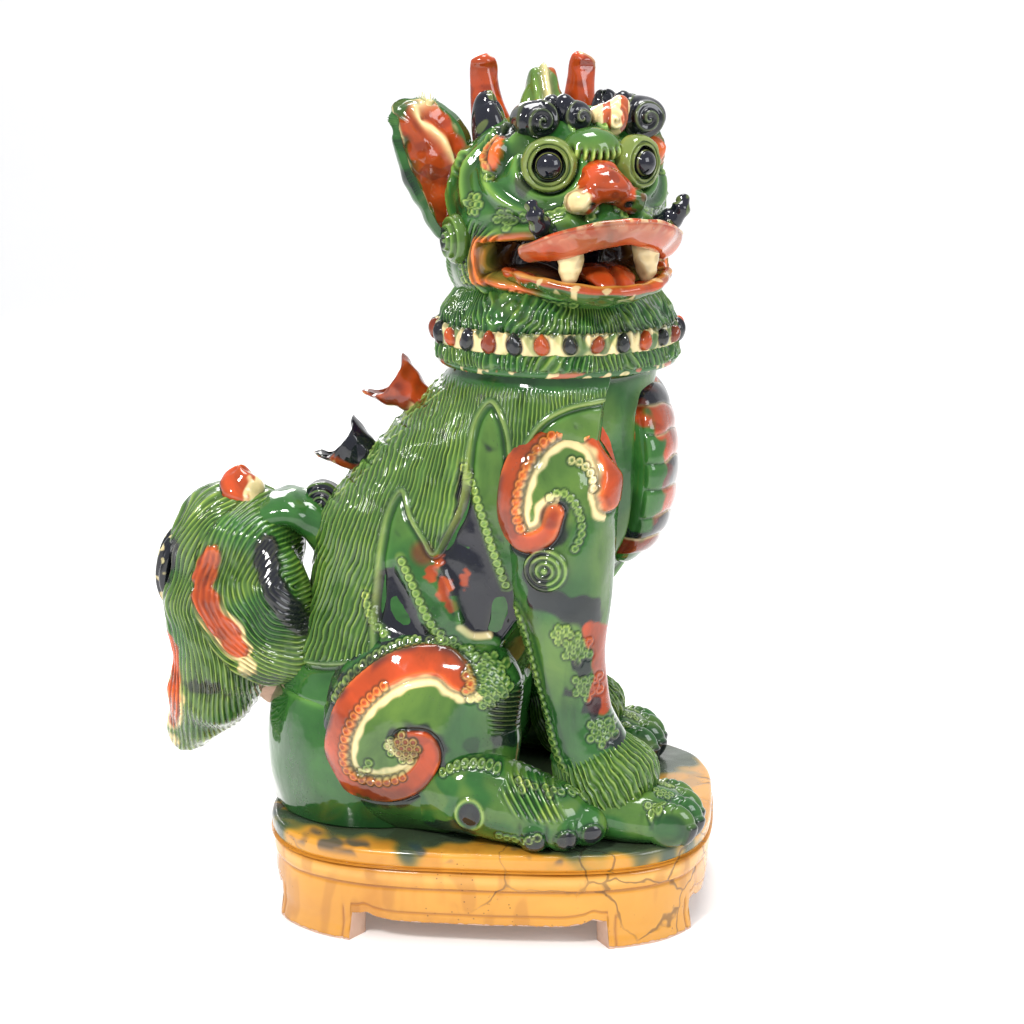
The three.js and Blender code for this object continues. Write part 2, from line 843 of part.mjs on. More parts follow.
// ---- the row's own frame: the middle of the box, at the feet --------------------------------
root.updateMatrixWorld(true);
const box = new THREE.Box3().setFromObject(root, true);
const part = new THREE.Group();
root.position.set(-(box.min.x + box.max.x) / 2, -(box.min.y + box.max.y) / 2, -box.min.z);
part.add(root);

export default part;
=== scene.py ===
import bpy
import math
import numpy as np
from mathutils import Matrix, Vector


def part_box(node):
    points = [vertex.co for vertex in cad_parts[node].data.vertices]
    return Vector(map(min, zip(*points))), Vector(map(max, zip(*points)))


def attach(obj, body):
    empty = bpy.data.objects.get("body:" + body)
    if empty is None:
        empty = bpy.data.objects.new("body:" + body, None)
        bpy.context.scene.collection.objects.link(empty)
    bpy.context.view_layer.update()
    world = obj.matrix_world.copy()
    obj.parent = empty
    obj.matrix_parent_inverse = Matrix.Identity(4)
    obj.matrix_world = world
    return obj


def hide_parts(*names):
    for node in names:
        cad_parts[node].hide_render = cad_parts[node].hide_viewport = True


# A seated guardian lion in lead-glazed stoneware on a footed oval plinth.
# Lengths below are millimetres. The figure's own frame has its origin on the deck,
# under the middle of the plinth: x towards the lion's tail end is negative, -y is its right flank.

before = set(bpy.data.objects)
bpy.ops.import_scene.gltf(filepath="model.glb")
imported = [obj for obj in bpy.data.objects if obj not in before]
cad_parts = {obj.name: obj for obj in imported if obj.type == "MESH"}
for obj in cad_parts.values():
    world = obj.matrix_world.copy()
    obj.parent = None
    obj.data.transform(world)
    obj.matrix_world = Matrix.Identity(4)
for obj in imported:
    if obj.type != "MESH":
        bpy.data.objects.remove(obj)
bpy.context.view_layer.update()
deckLow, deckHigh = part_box("plinth_deck")
deckMiddle = np.array([(deckLow.x + deckHigh.x) / 2, (deckLow.y + deckHigh.y) / 2, deckHigh.z])
spigotLow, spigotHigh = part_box("neck_spigot")
neckX = ((spigotLow.x + spigotHigh.x) / 2 - deckMiddle[0]) * 1000
eyeMiddles = {}
for word in ("right", "left"):
    low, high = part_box("eyeball_" + word)
    eyeMiddles[word] = (np.array(low + high) / 2 - deckMiddle) * 1000
gaze = (eyeMiddles["right"] + eyeMiddles["left"]) / 2 - [neckX, 0, 0]
headTurn = math.atan2(gaze[1], gaze[0])
headMiddle = 368.0

shades = {
    "deep": (0.005, 0.040, 0.010),
    "green": (0.023, 0.105, 0.019),
    "leaf": (0.082, 0.165, 0.028),
    "pale": (0.240, 0.320, 0.085),
    "orange": (0.370, 0.050, 0.009),
    "rust": (0.170, 0.022, 0.008),
    "black": (0.006, 0.007, 0.014),
    "cream": (0.790, 0.640, 0.320),
    "amber": (0.640, 0.290, 0.034),
    "clay": (0.620, 0.370, 0.270),
    "pink": (0.480, 0.120, 0.070),
}
shades = {name: np.array(value) for name, value in shades.items()}


# ---- small maths
def mix(a, b, t):
    return a + (b - a) * t


def ramp(x, low, high):
    # eased step from 0 at low to 1 at high
    t = np.clip((x - low) / (high - low), 0, 1)
    return t * t * (3 - 2 * t)


def wobble(p, size, seed):
    # sum of sine waves in seeded directions, roughly -1 to 1, with features about size long
    draw = np.random.default_rng(seed)
    waves = draw.normal(size=(8, 3))
    waves /= np.linalg.norm(waves, axis=1, keepdims=True)
    waves *= 2 * np.pi / size * draw.uniform(0.55, 1.6, (8, 1))
    return np.sin(p @ waves.T + draw.uniform(0, 6.28, 8)).sum(-1) / 3.2


def spline(points, count):
    # Catmull-Rom curve through the rows of points, sampled evenly in its own parameter
    points = np.asarray(points, float)
    padded = np.vstack([2 * points[0] - points[1], points, 2 * points[-1] - points[-2]])
    t = np.linspace(0, len(points) - 1, count)
    k = np.minimum(t.astype(int), len(points) - 2)
    s = (t - k)[:, None]
    a, b, c, d = padded[k], padded[k + 1], padded[k + 2], padded[k + 3]
    return 0.5 * (2 * b + (c - a) * s + (2 * a - 5 * b + 4 * c - d) * s**2 + (3 * b - a - 3 * c + d) * s**3)


def unit(v):
    return v / np.maximum(np.linalg.norm(v, axis=-1, keepdims=True), 1e-9)


def soften(values, steps, wrap):
    # mean of each value and its neighbours, repeated
    for _ in range(steps):
        across = np.roll(values, 1, 1) + np.roll(values, -1, 1) if wrap else (
            np.concatenate([values[:, :1], values[:, :-1]], 1) + np.concatenate([values[:, 1:], values[:, -1:]], 1)
        )
        along = np.concatenate([values[:1], values[:-1]]) + np.concatenate([values[1:], values[-1:]])
        values = (2 * values + across + along) / 6
    return values


def nearCurve(u, v, curve, reach):
    # distance from each (u, v) to a plane curve, and how far along it that lies from 0 to 1
    curve = np.asarray(curve, float)
    distance = np.full(u.shape, 1e3)
    along = np.zeros(u.shape)
    side = np.zeros(u.shape)
    near = (u > curve[:, 0].min() - reach) & (u < curve[:, 0].max() + reach)
    near &= (v > curve[:, 1].min() - reach) & (v < curve[:, 1].max() + reach)
    if not near.any():
        return distance, along, side
    p = np.stack([u[near], v[near]], -1)[:, None]
    step = curve[1:] - curve[:-1]
    t = np.clip(((p - curve[:-1]) * step).sum(-1) / (step**2).sum(-1), 0, 1)
    gap = p - (curve[:-1] + t[..., None] * step)
    length = np.linalg.norm(gap, axis=-1)
    best = length.argmin(1)
    rows = np.arange(len(best))
    distance[near] = length[rows, best]
    along[near] = (best + t[rows, best]) / len(step)
    g, s = gap[rows, best], step[best]
    side[near] = np.sign(s[:, 0] * g[:, 1] - s[:, 1] * g[:, 0])
    return distance, along, side


def spaced(curve, pitch):
    # points along a plane curve, a pitch apart
    curve = np.asarray(curve, float)
    run = np.concatenate([[0], np.cumsum(np.linalg.norm(np.diff(curve, axis=0), axis=1))])
    at = np.arange(pitch / 2, run[-1], pitch)
    return np.stack([np.interp(at, run, curve[:, 0]), np.interp(at, run, curve[:, 1])], -1)


def cluster(cx, cz, spread, count, pitch):
    # close-packed points around a middle, nearest first
    k = np.arange(-5, 6)
    a, b = np.meshgrid(k, k)
    points = np.stack([(a + 0.5 * (b % 2)) * pitch, b * pitch * 0.87], -1).reshape(-1, 2)
    points = points[np.argsort(np.hypot(points[:, 0] / spread, points[:, 1]))][:count]
    return points + [cx, cz]


# ---- clay: a grid of points with relief, glaze, comb strokes and bare patches
class Clay:
    def __init__(self, points, wrap=True, color="green"):
        self.p, self.wrap = points, wrap
        du = np.roll(points, -1, 1) - np.roll(points, 1, 1) if wrap else np.gradient(points, axis=1)
        raw = np.cross(du, np.gradient(points, axis=0))
        outward = (raw * (points - points.mean((0, 1)))).sum()
        self.n = unit(raw) * np.sign(outward)
        self.height = np.zeros(points.shape[:2])
        self.color = np.broadcast_to(shades[color], points.shape).copy()
        self.phase = np.zeros(points.shape[:2])
        self.comb = np.zeros(points.shape[:2])
        self.bare = np.zeros(points.shape[:2])

    @property
    def x(self):
        return self.p[..., 0]

    @property
    def y(self):
        return self.p[..., 1]

    @property
    def z(self):
        return self.p[..., 2]

    def paint(self, color, mask):
        value = shades[color] if isinstance(color, str) else np.asarray(color)
        self.color = mix(self.color, value, np.clip(mask, 0, 1)[..., None])

    def combed(self, across, pitch, mask, depth=0.45):
        # strokes of a comb: ridges a pitch apart in the coordinate that runs across them
        phase = 2 * np.pi * across / pitch
        self.phase = np.where(mask > 0.02, phase, self.phase)
        self.comb = np.maximum(self.comb, mask)
        self.height += depth * mask * np.sin(phase)

    def circles(self, u, v, middles, mask=1.0, radius=2.2, tint="pale"):
        # rows of little circles pressed with a tube
        near = np.zeros(u.shape)
        dark = np.zeros(u.shape)
        for cu, cv in middles:
            box = (np.abs(u - cu) < 4.5) & (np.abs(v - cv) < 4.5)
            d = np.hypot(u[box] - cu, v[box] - cv)
            near[box] = np.maximum(near[box], np.exp(-(((d - radius) / 0.55) ** 2)) + 0.2 * np.exp(-((d / 0.8) ** 2)))
            dark[box] = np.maximum(dark[box], np.exp(-(((d - radius - 1.1) / 0.7) ** 2)))
        self.height += mask * (0.8 * near - 0.4 * dark * (near < 0.3))
        self.paint(tint, 0.45 * near * mask)
        self.paint("deep", 0.7 * dark * (1 - near) * mask)

    def pooled(self, steps=3, gain=1.6):
        # glaze runs thin and pale off ridges and gathers dark in hollows
        local = self.height - soften(self.height, steps * 3, self.wrap)
        local = np.clip(local * gain, -1, 1)
        up, down = np.clip(local, 0, 1)[..., None], np.clip(-local, 0, 1)[..., None]
        lit = np.minimum(self.color * 1.9 + np.array([0.05, 0.055, 0.01]), 0.85)
        self.color = mix(self.color, lit, 0.75 * up)
        self.color = mix(self.color, self.color * 0.22, 0.8 * down)


def fromHeadFrame(p):
    c, s = math.cos(headTurn), math.sin(headTurn)
    x, y = p[..., 0], p[..., 1]
    return np.stack([neckX + c * x - s * y, s * x + c * y, p[..., 2] + headMiddle], -1)


def build(clay, name, body, nodes, material, onHead=False, poles=True, loop=False):
    # turns a clay grid into a closed mesh piece: rows of quads, joined round, with a fan at each pole
    rows, cols = clay.p.shape[:2]
    points = (clay.p + clay.n * clay.height[..., None]).reshape(-1, 3)
    data = {
        "glaze": clay.color.reshape(-1, 3),
        "strokes": clay.phase.ravel(),
        "combed": clay.comb.ravel(),
        "bare": clay.bare.ravel(),
    }
    index = np.arange(rows * cols).reshape(rows, cols)
    down = np.roll(index, -1, 0) if loop else index[1:]
    top = index if loop else index[:-1]
    if clay.wrap:
        quads = np.stack([top, np.roll(top, -1, 1), np.roll(down, -1, 1), down], -1).reshape(-1, 4)
    else:
        quads = np.stack([top[:, :-1], top[:, 1:], down[:, 1:], down[:, :-1]], -1).reshape(-1, 4)
    fans = []
    if poles and not loop:
        for row, turn in ((index[0], False), (index[-1], True)):
            middle = len(points)
            points = np.vstack([points, points[row].mean(0)])
            for key in data:
                data[key] = np.concatenate([data[key], data[key][row].mean(0, keepdims=True)])
            edge = np.stack([np.roll(row, -1), row], -1) if not turn else np.stack([row, np.roll(row, -1)], -1)
            fans.append(np.column_stack([edge, np.full(len(row), middle)]))
    fans = np.vstack(fans) if fans else np.zeros((0, 3), int)
    if onHead:
        points = fromHeadFrame(points)
    tri = np.vstack([quads[:, [0, 1, 2]], quads[:, [0, 2, 3]], fans])
    volume = np.einsum("ij,ij->i", points[tri[:, 0]], np.cross(points[tri[:, 1]], points[tri[:, 2]])).sum()
    if volume < 0:
        quads, fans = quads[:, ::-1], fans[:, ::-1]
    mesh = bpy.data.meshes.new(name)
    place = points * 0.001 + deckMiddle
    mesh.vertices.add(len(place))
    mesh.vertices.foreach_set("co", place.astype(np.float32).ravel())
    mesh.loops.add(quads.size + fans.size)
    mesh.loops.foreach_set("vertex_index", np.concatenate([quads.ravel(), fans.ravel()]).astype(np.int32))
    mesh.polygons.add(len(quads) + len(fans))
    starts = np.concatenate([np.arange(len(quads)) * 4, len(quads) * 4 + np.arange(len(fans)) * 3])
    mesh.polygons.foreach_set("loop_start", starts.astype(np.int32))
    mesh.update(calc_edges=True)
    mesh.polygons.foreach_set("use_smooth", np.ones(len(mesh.polygons), bool))
    glaze = mesh.color_attributes.new("glaze", "FLOAT_COLOR", "POINT")
    rgba = np.column_stack([data["glaze"], np.ones(len(points))])
    glaze.data.foreach_set("color", rgba.astype(np.float32).ravel())
    for key in ("strokes", "combed", "bare"):
        attribute = mesh.attributes.new(key, "FLOAT", "POINT")
        attribute.data.foreach_set("value", data[key].astype(np.float32))
    mesh.validate()
    piece = bpy.data.objects.new(name, mesh)
    bpy.context.scene.collection.objects.link(piece)
    piece.data.materials.append(material)
    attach(piece, body)
    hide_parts(*nodes)
    return piece


def loft(stations, across, rows, cols, ends=(0.12, 0.12), twist=0.0):
    # oval sections carried along a smooth path: each station is x, y, z, half thickness, half width,
    # the width lies along across, and both shrink to a rounded cap over the given share of each end
    path = spline(stations, 160)
    across = np.asarray(across, float)
    lean = spline(across, 160) if across.ndim == 2 else np.broadcast_to(across, (160, 3))
    t = 0.5 - 0.5 * np.cos(np.linspace(0.02, 1, rows) * np.pi * 0.985)
    t = mix(np.linspace(0.002, 0.998, rows), t, 0.35)
    at = np.linspace(0, 1, 160)
    pick = lambda a: np.stack([np.interp(t, at, a[:, i]) for i in range(a.shape[1])], -1)
    path, lean = pick(path), pick(lean)
    along = unit(np.gradient(path[:, :3], axis=0))
    side = unit(lean - along * (lean * along).sum(-1, keepdims=True))
    up = np.cross(along, side)
    cap = np.ones(rows)
    if ends[0]:
        cap *= np.sqrt(np.clip(1 - (1 - np.minimum(t / ends[0], 1)) ** 2, 1e-4, 1))
    if ends[1]:
        cap *= np.sqrt(np.clip(1 - (1 - np.minimum((1 - t) / ends[1], 1)) ** 2, 1e-4, 1))
    a = np.linspace(0, 2 * np.pi, cols, endpoint=False)[None] + twist * t[:, None]
    wide, thick = (path[:, 4] * cap)[:, None, None], (path[:, 3] * cap)[:, None, None]
    return path[:, None, :3] + side[:, None] * wide * np.cos(a)[..., None] + up[:, None] * thick * np.sin(a)[..., None]


def gridParameters(clay):
    # u round the piece and v along it, both from 0 to 1
    rows, cols = clay.p.shape[:2]
    v, u = np.meshgrid(np.linspace(0, 1, rows), np.linspace(0, 1, cols, endpoint=not clay.wrap), indexing="ij")
    return u, v


def lump(p, middle, radii):
    # signed distance to an ellipsoid, near enough
    q = (p - np.asarray(middle, float)) / radii
    k = np.linalg.norm(q, axis=-1)
    return k * (k - 1) / np.maximum(np.linalg.norm(q / radii, axis=-1), 1e-6)


def blendOf(parts, k):
    # smooth union of several distances
    total = parts[0]
    for d in parts[1:]:
        h = np.clip(0.5 + 0.5 * (total - d) / k, 0, 1)
        total = mix(total, d, h) - k * h * (1 - h)
    return total


def cast(field, middle, rows, cols, reach, stretch=(1, 1, 1)):
    # skin of a field seen from a point inside it: along each ray, the furthest crossing
    polar = np.linspace(0.012, np.pi - 0.012, rows)[:, None]
    turn = np.linspace(0, 2 * np.pi, cols, endpoint=False)[None]
    ray = np.stack([np.sin(polar) * np.cos(turn), np.sin(polar) * np.sin(turn), np.cos(polar) + 0 * turn], -1)
    ray = unit(ray * stretch)
    middle = np.asarray(middle, float)
    inner = np.zeros(ray.shape[:2])
    for r in np.linspace(reach / 26, reach, 26):
        inner = np.where(field(middle + ray * r) < 0, r, inner)
    outer = inner + reach / 26
    for _ in range(9):
        half = (inner + outer) / 2
        inside = field(middle + ray * half[..., None]) < 0
        inner, outer = np.where(inside, half, inner), np.where(inside, outer, half)
    return middle + ray * inner[..., None]


# ---- finishes
def newMaterial(name):
    material = bpy.data.materials.new(name)
    material.use_nodes = True
    nodes, links = material.node_tree.nodes, material.node_tree.links
    nodes.clear()
    output = nodes.new("ShaderNodeOutputMaterial")
    shader = nodes.new("ShaderNodeBsdfPrincipled")
    links.new(shader.outputs["BSDF"], output.inputs["Surface"])
    return material, nodes, links, shader


def mathNode(nodes, links, operation, a, b=None, c=None, clamp=False):
    node = nodes.new("ShaderNodeMath")
    node.operation, node.use_clamp = operation, clamp
    for slot, value in zip(node.inputs, (a, b, c)):
        if value is None:
            continue
        if isinstance(value, (int, float)):
            slot.default_value = value
        else:
            links.new(value, slot)
    return node.outputs[0]


def mixColor(nodes, links, factor, a, b, blend="MIX"):
    node = nodes.new("ShaderNodeMix")
    node.data_type, node.blend_type = "RGBA", blend
    for slot, value in ((node.inputs[0], factor), (node.inputs[6], a), (node.inputs[7], b)):
        if isinstance(value, (int, float)):
            slot.default_value = value
        elif isinstance(value, (tuple, list, np.ndarray)):
            slot.default_value = (*value[:3], 1)
        else:
            links.new(value, slot)
    return node.outputs[2]


def noise(nodes, links, coordinates, scale, detail=3.0, rough=0.5, distort=0.0):
    node = nodes.new("ShaderNodeTexNoise")
    node.inputs["Scale"].default_value = scale
    node.inputs["Detail"].default_value = detail
    node.inputs["Roughness"].default_value = rough
    node.inputs["Distortion"].default_value = distort
    links.new(coordinates, node.inputs["Vector"])
    return node.outputs["Fac"]


def spread(nodes, links, value, low, high, outLow=0.0, outHigh=1.0):
    node = nodes.new("ShaderNodeMapRange")
    node.interpolation_type = "SMOOTHSTEP"
    for slot, number in zip(node.inputs[1:5], (low, high, outLow, outHigh)):
        slot.default_value = number
    links.new(value, node.inputs[0])
    return node.outputs[0]


def glazeMaterial(name, look):
    # lead glaze over clay: colour from the clay grid, streaks, thin and thick spots, comb strokes,
    # a fine orange-peel surface, pits, and bare clay where the grid or a worn edge says so
    material, nodes, links, shader = newMaterial(name)
    place = nodes.new("ShaderNodeTexCoord").outputs["Object"]
    attributes = {}
    for key in ("glaze", "strokes", "combed", "bare"):
        node = nodes.new("ShaderNodeAttribute")
        node.attribute_name = key
        attributes[key] = node.outputs["Color" if key == "glaze" else "Fac"]
    color = attributes["glaze"]
    broad = noise(nodes, links, place, look["cloudScale"], 4, 0.55, 0.6)
    thin = spread(nodes, links, broad, 0.45, 0.78)
    thick = spread(nodes, links, broad, 0.52, 0.26)
    lifted = mixColor(nodes, links, 1.0, color, look["thinTint"], "MULTIPLY")
    color = mixColor(nodes, links, mathNode(nodes, links, "MULTIPLY", thin, look["thinAmount"]), color, lifted)
    sunk = mixColor(nodes, links, 1.0, color, look["thickTint"], "MULTIPLY")
    color = mixColor(nodes, links, mathNode(nodes, links, "MULTIPLY", thick, look["thickAmount"]), color, sunk)
    # runs that drip down the piece
    stretchNode = nodes.new("ShaderNodeMapping")
    stretchNode.inputs["Scale"].default_value = (1.0, 1.0, 0.22)
    links.new(place, stretchNode.inputs["Vector"])
    runs = noise(nodes, links, stretchNode.outputs[0], look["runScale"], 3, 0.6, 0.4)
    runMask = mathNode(nodes, links, "MULTIPLY", spread(nodes, links, runs, 0.56, 0.72), look["runAmount"])
    color = mixColor(nodes, links, runMask, color, mixColor(nodes, links, 1.0, color, look["runTint"], "MULTIPLY"))
    # comb strokes: the crest thin and pale, the groove dark
    wave = mathNode(nodes, links, "SINE", attributes["strokes"])
    crest = mathNode(nodes, links, "MULTIPLY", spread(nodes, links, wave, 0.3, 1.05), attributes["combed"])
    groove = mathNode(nodes, links, "MULTIPLY", spread(nodes, links, wave, -0.15, -0.9), attributes["combed"])
    pale = mixColor(nodes, links, 1.0, color, look["crestTint"], "MULTIPLY")
    pale = mixColor(nodes, links, 1.0, pale, look["crestLift"], "ADD")
    color = mixColor(nodes, links, mathNode(nodes, links, "MULTIPLY", crest, look["crestAmount"]), color, pale)
    dark = mixColor(nodes, links, 1.0, color, (0.25, 0.3, 0.25), "MULTIPLY")
    color = mixColor(nodes, links, mathNode(nodes, links, "MULTIPLY", groove, 0.6), color, dark)
    # pits and specks
    speck = nodes.new("ShaderNodeTexVoronoi")
    speck.inputs["Scale"].default_value = look["speckScale"]
    links.new(place, speck.inputs["Vector"])
    patch = spread(nodes, links, noise(nodes, links, place, 22, 2), 0.52, 0.62)
    dots = mathNode(nodes, links, "MULTIPLY", spread(nodes, links, speck.outputs["Distance"], 0.16, 0.09), patch)
    color = mixColor(nodes, links, mathNode(nodes, links, "MULTIPLY", dots, look["speckAmount"]), color, look["speckTint"])
    # hairline cracks
    crackle = nodes.new("ShaderNodeTexVoronoi")
    crackle.feature = "DISTANCE_TO_EDGE"
    crackle.inputs["Scale"].default_value = look["crackScale"]
    warp = nodes.new("ShaderNodeVectorMath")
    warp.operation = "MULTIPLY_ADD"
    warpNoise = nodes.new("ShaderNodeTexNoise")
    warpNoise.inputs["Scale"].default_value = 60
    links.new(place, warpNoise.inputs["Vector"])
    links.new(warpNoise.outputs["Color"], warp.inputs[0])
    warp.inputs[1].default_value = (0.012, 0.012, 0.012)
    links.new(place, warp.inputs[2])
    links.new(warp.outputs[0], crackle.inputs["Vector"])
    where = spread(nodes, links, noise(nodes, links, place, 9, 2), 0.56, 0.64)
    line = mathNode(nodes, links, "MULTIPLY", spread(nodes, links, crackle.outputs["Distance"], 0.02, 0.004), where)
    line = mathNode(nodes, links, "MULTIPLY", line, look["crackAmount"])
    color = mixColor(nodes, links, line, color, (0.03, 0.018, 0.01))
    # bare clay
    chip = noise(nodes, links, place, 260, 3, 0.6)
    edge = mathNode(nodes, links, "ADD", attributes["bare"], mathNode(nodes, links, "MULTIPLY_ADD", chip, 0.9, -0.45))
    bare = spread(nodes, links, edge, 0.5, 0.62)
    clay = mixColor(nodes, links, noise(nodes, links, place, 90, 4), shades["clay"], look["bareTint"])
    color = mixColor(nodes, links, bare, color, clay)
    links.new(color, shader.inputs["Base Color"])
    grain = noise(nodes, links, place, 130, 3, 0.6)
    rough = mathNode(nodes, links, "MULTIPLY_ADD", grain, look["roughSpread"], look["rough"])
    rough = mathNode(nodes, links, "ADD", rough, mathNode(nodes, links, "MULTIPLY", bare, 0.55))
    links.new(mathNode(nodes, links, "ADD", rough, mathNode(nodes, links, "MULTIPLY", line, 0.3)), shader.inputs["Roughness"])
    shader.inputs["IOR"].default_value = look["ior"]
    shader.inputs["Coat Roughness"].default_value = 0.03
    shader.inputs["Coat IOR"].default_value = 1.55
    links.new(mathNode(nodes, links, "MULTIPLY_ADD", bare, -look["coat"], look["coat"]), shader.inputs["Coat Weight"])
    # relief too fine for the mesh
    strokes = mathNode(nodes, links, "MULTIPLY", wave, attributes["combed"])
    peel = noise(nodes, links, place, look["peelScale"], 2, 0.5)
    level = mathNode(nodes, links, "MULTIPLY_ADD", strokes, look["strokeDepth"], mathNode(nodes, links, "MULTIPLY", peel, look["peelDepth"]))
    level = mathNode(nodes, links, "SUBTRACT", level, mathNode(nodes, links, "MULTIPLY", dots, 0.12))
    level = mathNode(nodes, links, "SUBTRACT", level, mathNode(nodes, links, "MULTIPLY", line, 0.2))
    level = mathNode(nodes, links, "SUBTRACT", level, mathNode(nodes, links, "MULTIPLY_ADD", bare, 0.35, mathNode(nodes, links, "MULTIPLY", mathNode(nodes, links, "MULTIPLY", bare, chip), 0.5)))
    bump = nodes.new("ShaderNodeBump")
    bump.inputs["Strength"].default_value = 1.0
    bump.inputs["Distance"].default_value = 0.001
    links.new(level, bump.inputs["Height"])
    links.new(bump.outputs[0], shader.inputs["Normal"])
    links.new(bump.outputs[0], shader.inputs["Coat Normal"])
    return material


figureLook = {
    "cloudScale": 26, "thinTint": (2.1, 1.7, 1.5), "thinAmount": 0.55, "thickTint": (0.35, 0.5, 0.4),
    "thickAmount": 0.7, "runScale": 55, "runAmount": 0.5, "runTint": (0.4, 0.55, 0.5),
    "crestTint": (2.6, 1.7, 1.6), "crestLift": (0.035, 0.045, 0.008), "crestAmount": 0.62,
    "speckScale": 420, "speckAmount": 0.5, "speckTint": (0.012, 0.02, 0.01), "crackScale": 60,
    "crackAmount": 0.0, "bareTint": (0.75, 0.55, 0.42), "rough": 0.04, "roughSpread": 0.09,
    "ior": 1.48, "coat": 0.3, "peelScale": 75, "peelDepth": 0.55, "strokeDepth": 0.42,
}
amberLook = dict(
    figureLook, cloudScale=14, thinTint=(1.25, 1.35, 1.7), thinAmount=0.5, thickTint=(0.72, 0.58, 0.45),
    thickAmount=0.8, runScale=30, runTint=(0.75, 0.62, 0.5), crackScale=22, crackAmount=0.6,
    speckScale=260, speckAmount=0.6, speckTint=(0.05, 0.025, 0.01), rough=0.12, roughSpread=0.2,
    coat=0.3, peelScale=50, peelDepth=0.5,
)
creamLook = dict(
    figureLook, thinTint=(1.1, 1.1, 1.2), thickTint=(0.75, 0.66, 0.5), crackScale=120, crackAmount=0.35,
    rough=0.18,
)
figureGlaze = glazeMaterial("figureGlaze", figureLook)
amberGlaze = glazeMaterial("amberGlaze", amberLook)
creamGlaze = glazeMaterial("creamGlaze", creamLook)
biscuitClay = glazeMaterial("biscuitClay", dict(creamLook, coat=0.0, rough=0.62, peelDepth=0.9))
print("finishes ready")

sides = {"right": -1, "left": 1}


def mirror(p, side):
    # shapes are made for the right side, and turned over for the left
    return p * [1, -side, 1]


# ---- plinth
plinth = {
    "halfLength": 138, "halfWidth": 118, "square": 3.2, "archAlong": 0.57, "archAcross": 0.63,
    "apron": -43.5, "bottom": -60, "cols": 900,
}


def ovalRow(inset, level, turn):
    # squared oval, drawn in from its full size by an inset
    n = 2 / plinth["square"]
    c, s = np.cos(turn), np.sin(turn)
    x = (plinth["halfLength"] - inset) * np.sign(c) * np.abs(c) ** n
    y = (plinth["halfWidth"] - inset) * np.sign(s) * np.abs(s) ** n
    return np.stack([x, y, level + 0 * x], -1)


def plinthTurns():
    # angles that put points evenly along the oval, with pairs close together at the sides of each foot
    fine = np.linspace(0, 2 * np.pi, 40001)
    ring = ovalRow(0, 0, fine)
    run = np.concatenate([[0], np.cumsum(np.linalg.norm(np.diff(ring, axis=0), axis=1))])
    even = np.linspace(0, run[-1], plinth["cols"], endpoint=False)
    footX, footY = plinth["archAlong"] * plinth["halfLength"], plinth["archAcross"] * plinth["halfWidth"]
    onFoot = (np.abs(ring[:, 0]) > footX) & (np.abs(ring[:, 1]) > footY)
    flips = run[:-1][onFoot[1:] != onFoot[:-1]]
    extra = np.concatenate([flips - 0.25, flips + 0.25, flips - 1.2, flips + 1.2, flips - 3, flips - 5, flips + 3, flips + 5])
    at = np.unique(np.concatenate([even, extra]))
    return np.interp(at, run, fine), flips, at, run[-1]


turns, footEdges, ringRun, ringLength = plinthTurns()
ringPoint = ovalRow(0, 0, turns)
isFoot = (np.abs(ringPoint[:, 0]) > plinth["archAlong"] * plinth["halfLength"]) & (
    np.abs(ringPoint[:, 1]) > plinth["archAcross"] * plinth["halfWidth"])
edgeGap = np.abs((ringRun[:, None] - footEdges[None] + ringLength / 2) % ringLength - ringLength / 2).min(1)
# under the apron the edge sags a little between the feet and turns up in a small cusp beside each
hem = plinth["apron"] - 2.2 * ramp(edgeGap, 6, 30) + 1.6 * np.exp(-(((edgeGap - 9) / 4) ** 2))
lowEdge = np.where(isFoot, plinth["bottom"], hem)

deckProfile = spline([[110, 0.0], [60, 0.2], [20, 0.1], [5, 0.0], [1.6, -0.4], [0.2, -2.2], [0.0, -5], [0.4, -8.6], [1.6, -10.6], [4, -11], [60, -11], [112, -11]], 110)
deck = Clay(np.stack([ovalRow(inset, level, turns) for inset, level in deckProfile]), color="amber")
deck.height += 0.35 * wobble(deck.p, 46, 3) * ramp(deck.z, -14, 0)
toRim = 1 - (np.abs(deck.x / 138) ** 3.2 + np.abs(deck.y / 118) ** 3.2) ** (1 / 3.2)
blotch = wobble(deck.p, 60, 11) + 0.5 * wobble(deck.p, 22, 12)
nearBody = np.minimum(np.hypot((deck.x + 40) / 108, deck.y / 104), np.hypot((deck.x - 62) / 66, (np.abs(deck.y) - 70) / 42))
deck.paint("leaf", 0.7 * ramp(1.30 - nearBody + 0.14 * blotch, 0.12, 0.32) * (deck.z > -9))
deck.paint((0.045, 0.075, 0.045), 0.95 * ramp(1.16 - nearBody + 0.14 * blotch, 0.05, 0.22) * (deck.z > -9))
spill = ramp(wobble(deck.p, 34, 14) + 0.4 * wobble(deck.p, 12, 15), 0.0, 0.55) * ramp(deck.z, -7.5, -1.5) * (deck.x < 62) * ramp(0.16 - toRim, 0.0, 0.1)
deck.paint((0.03, 0.055, 0.06), 0.85 * spill)
deck.paint((0.30, 0.20, 0.10), 0.5 * ramp(blotch, 0.35, 0.9) * (nearBody > 1.15) * (deck.z > -2))
deck.bare = 0.30 * np.exp(-((deck.z + 1.4) / 1.3) ** 2) * (toRim < 0.06) + 0.35 * np.exp(-((deck.z + 10.2) / 1.0) ** 2)
build(deck, "plinthDeck", "figure", ["plinth_deck"], amberGlaze)

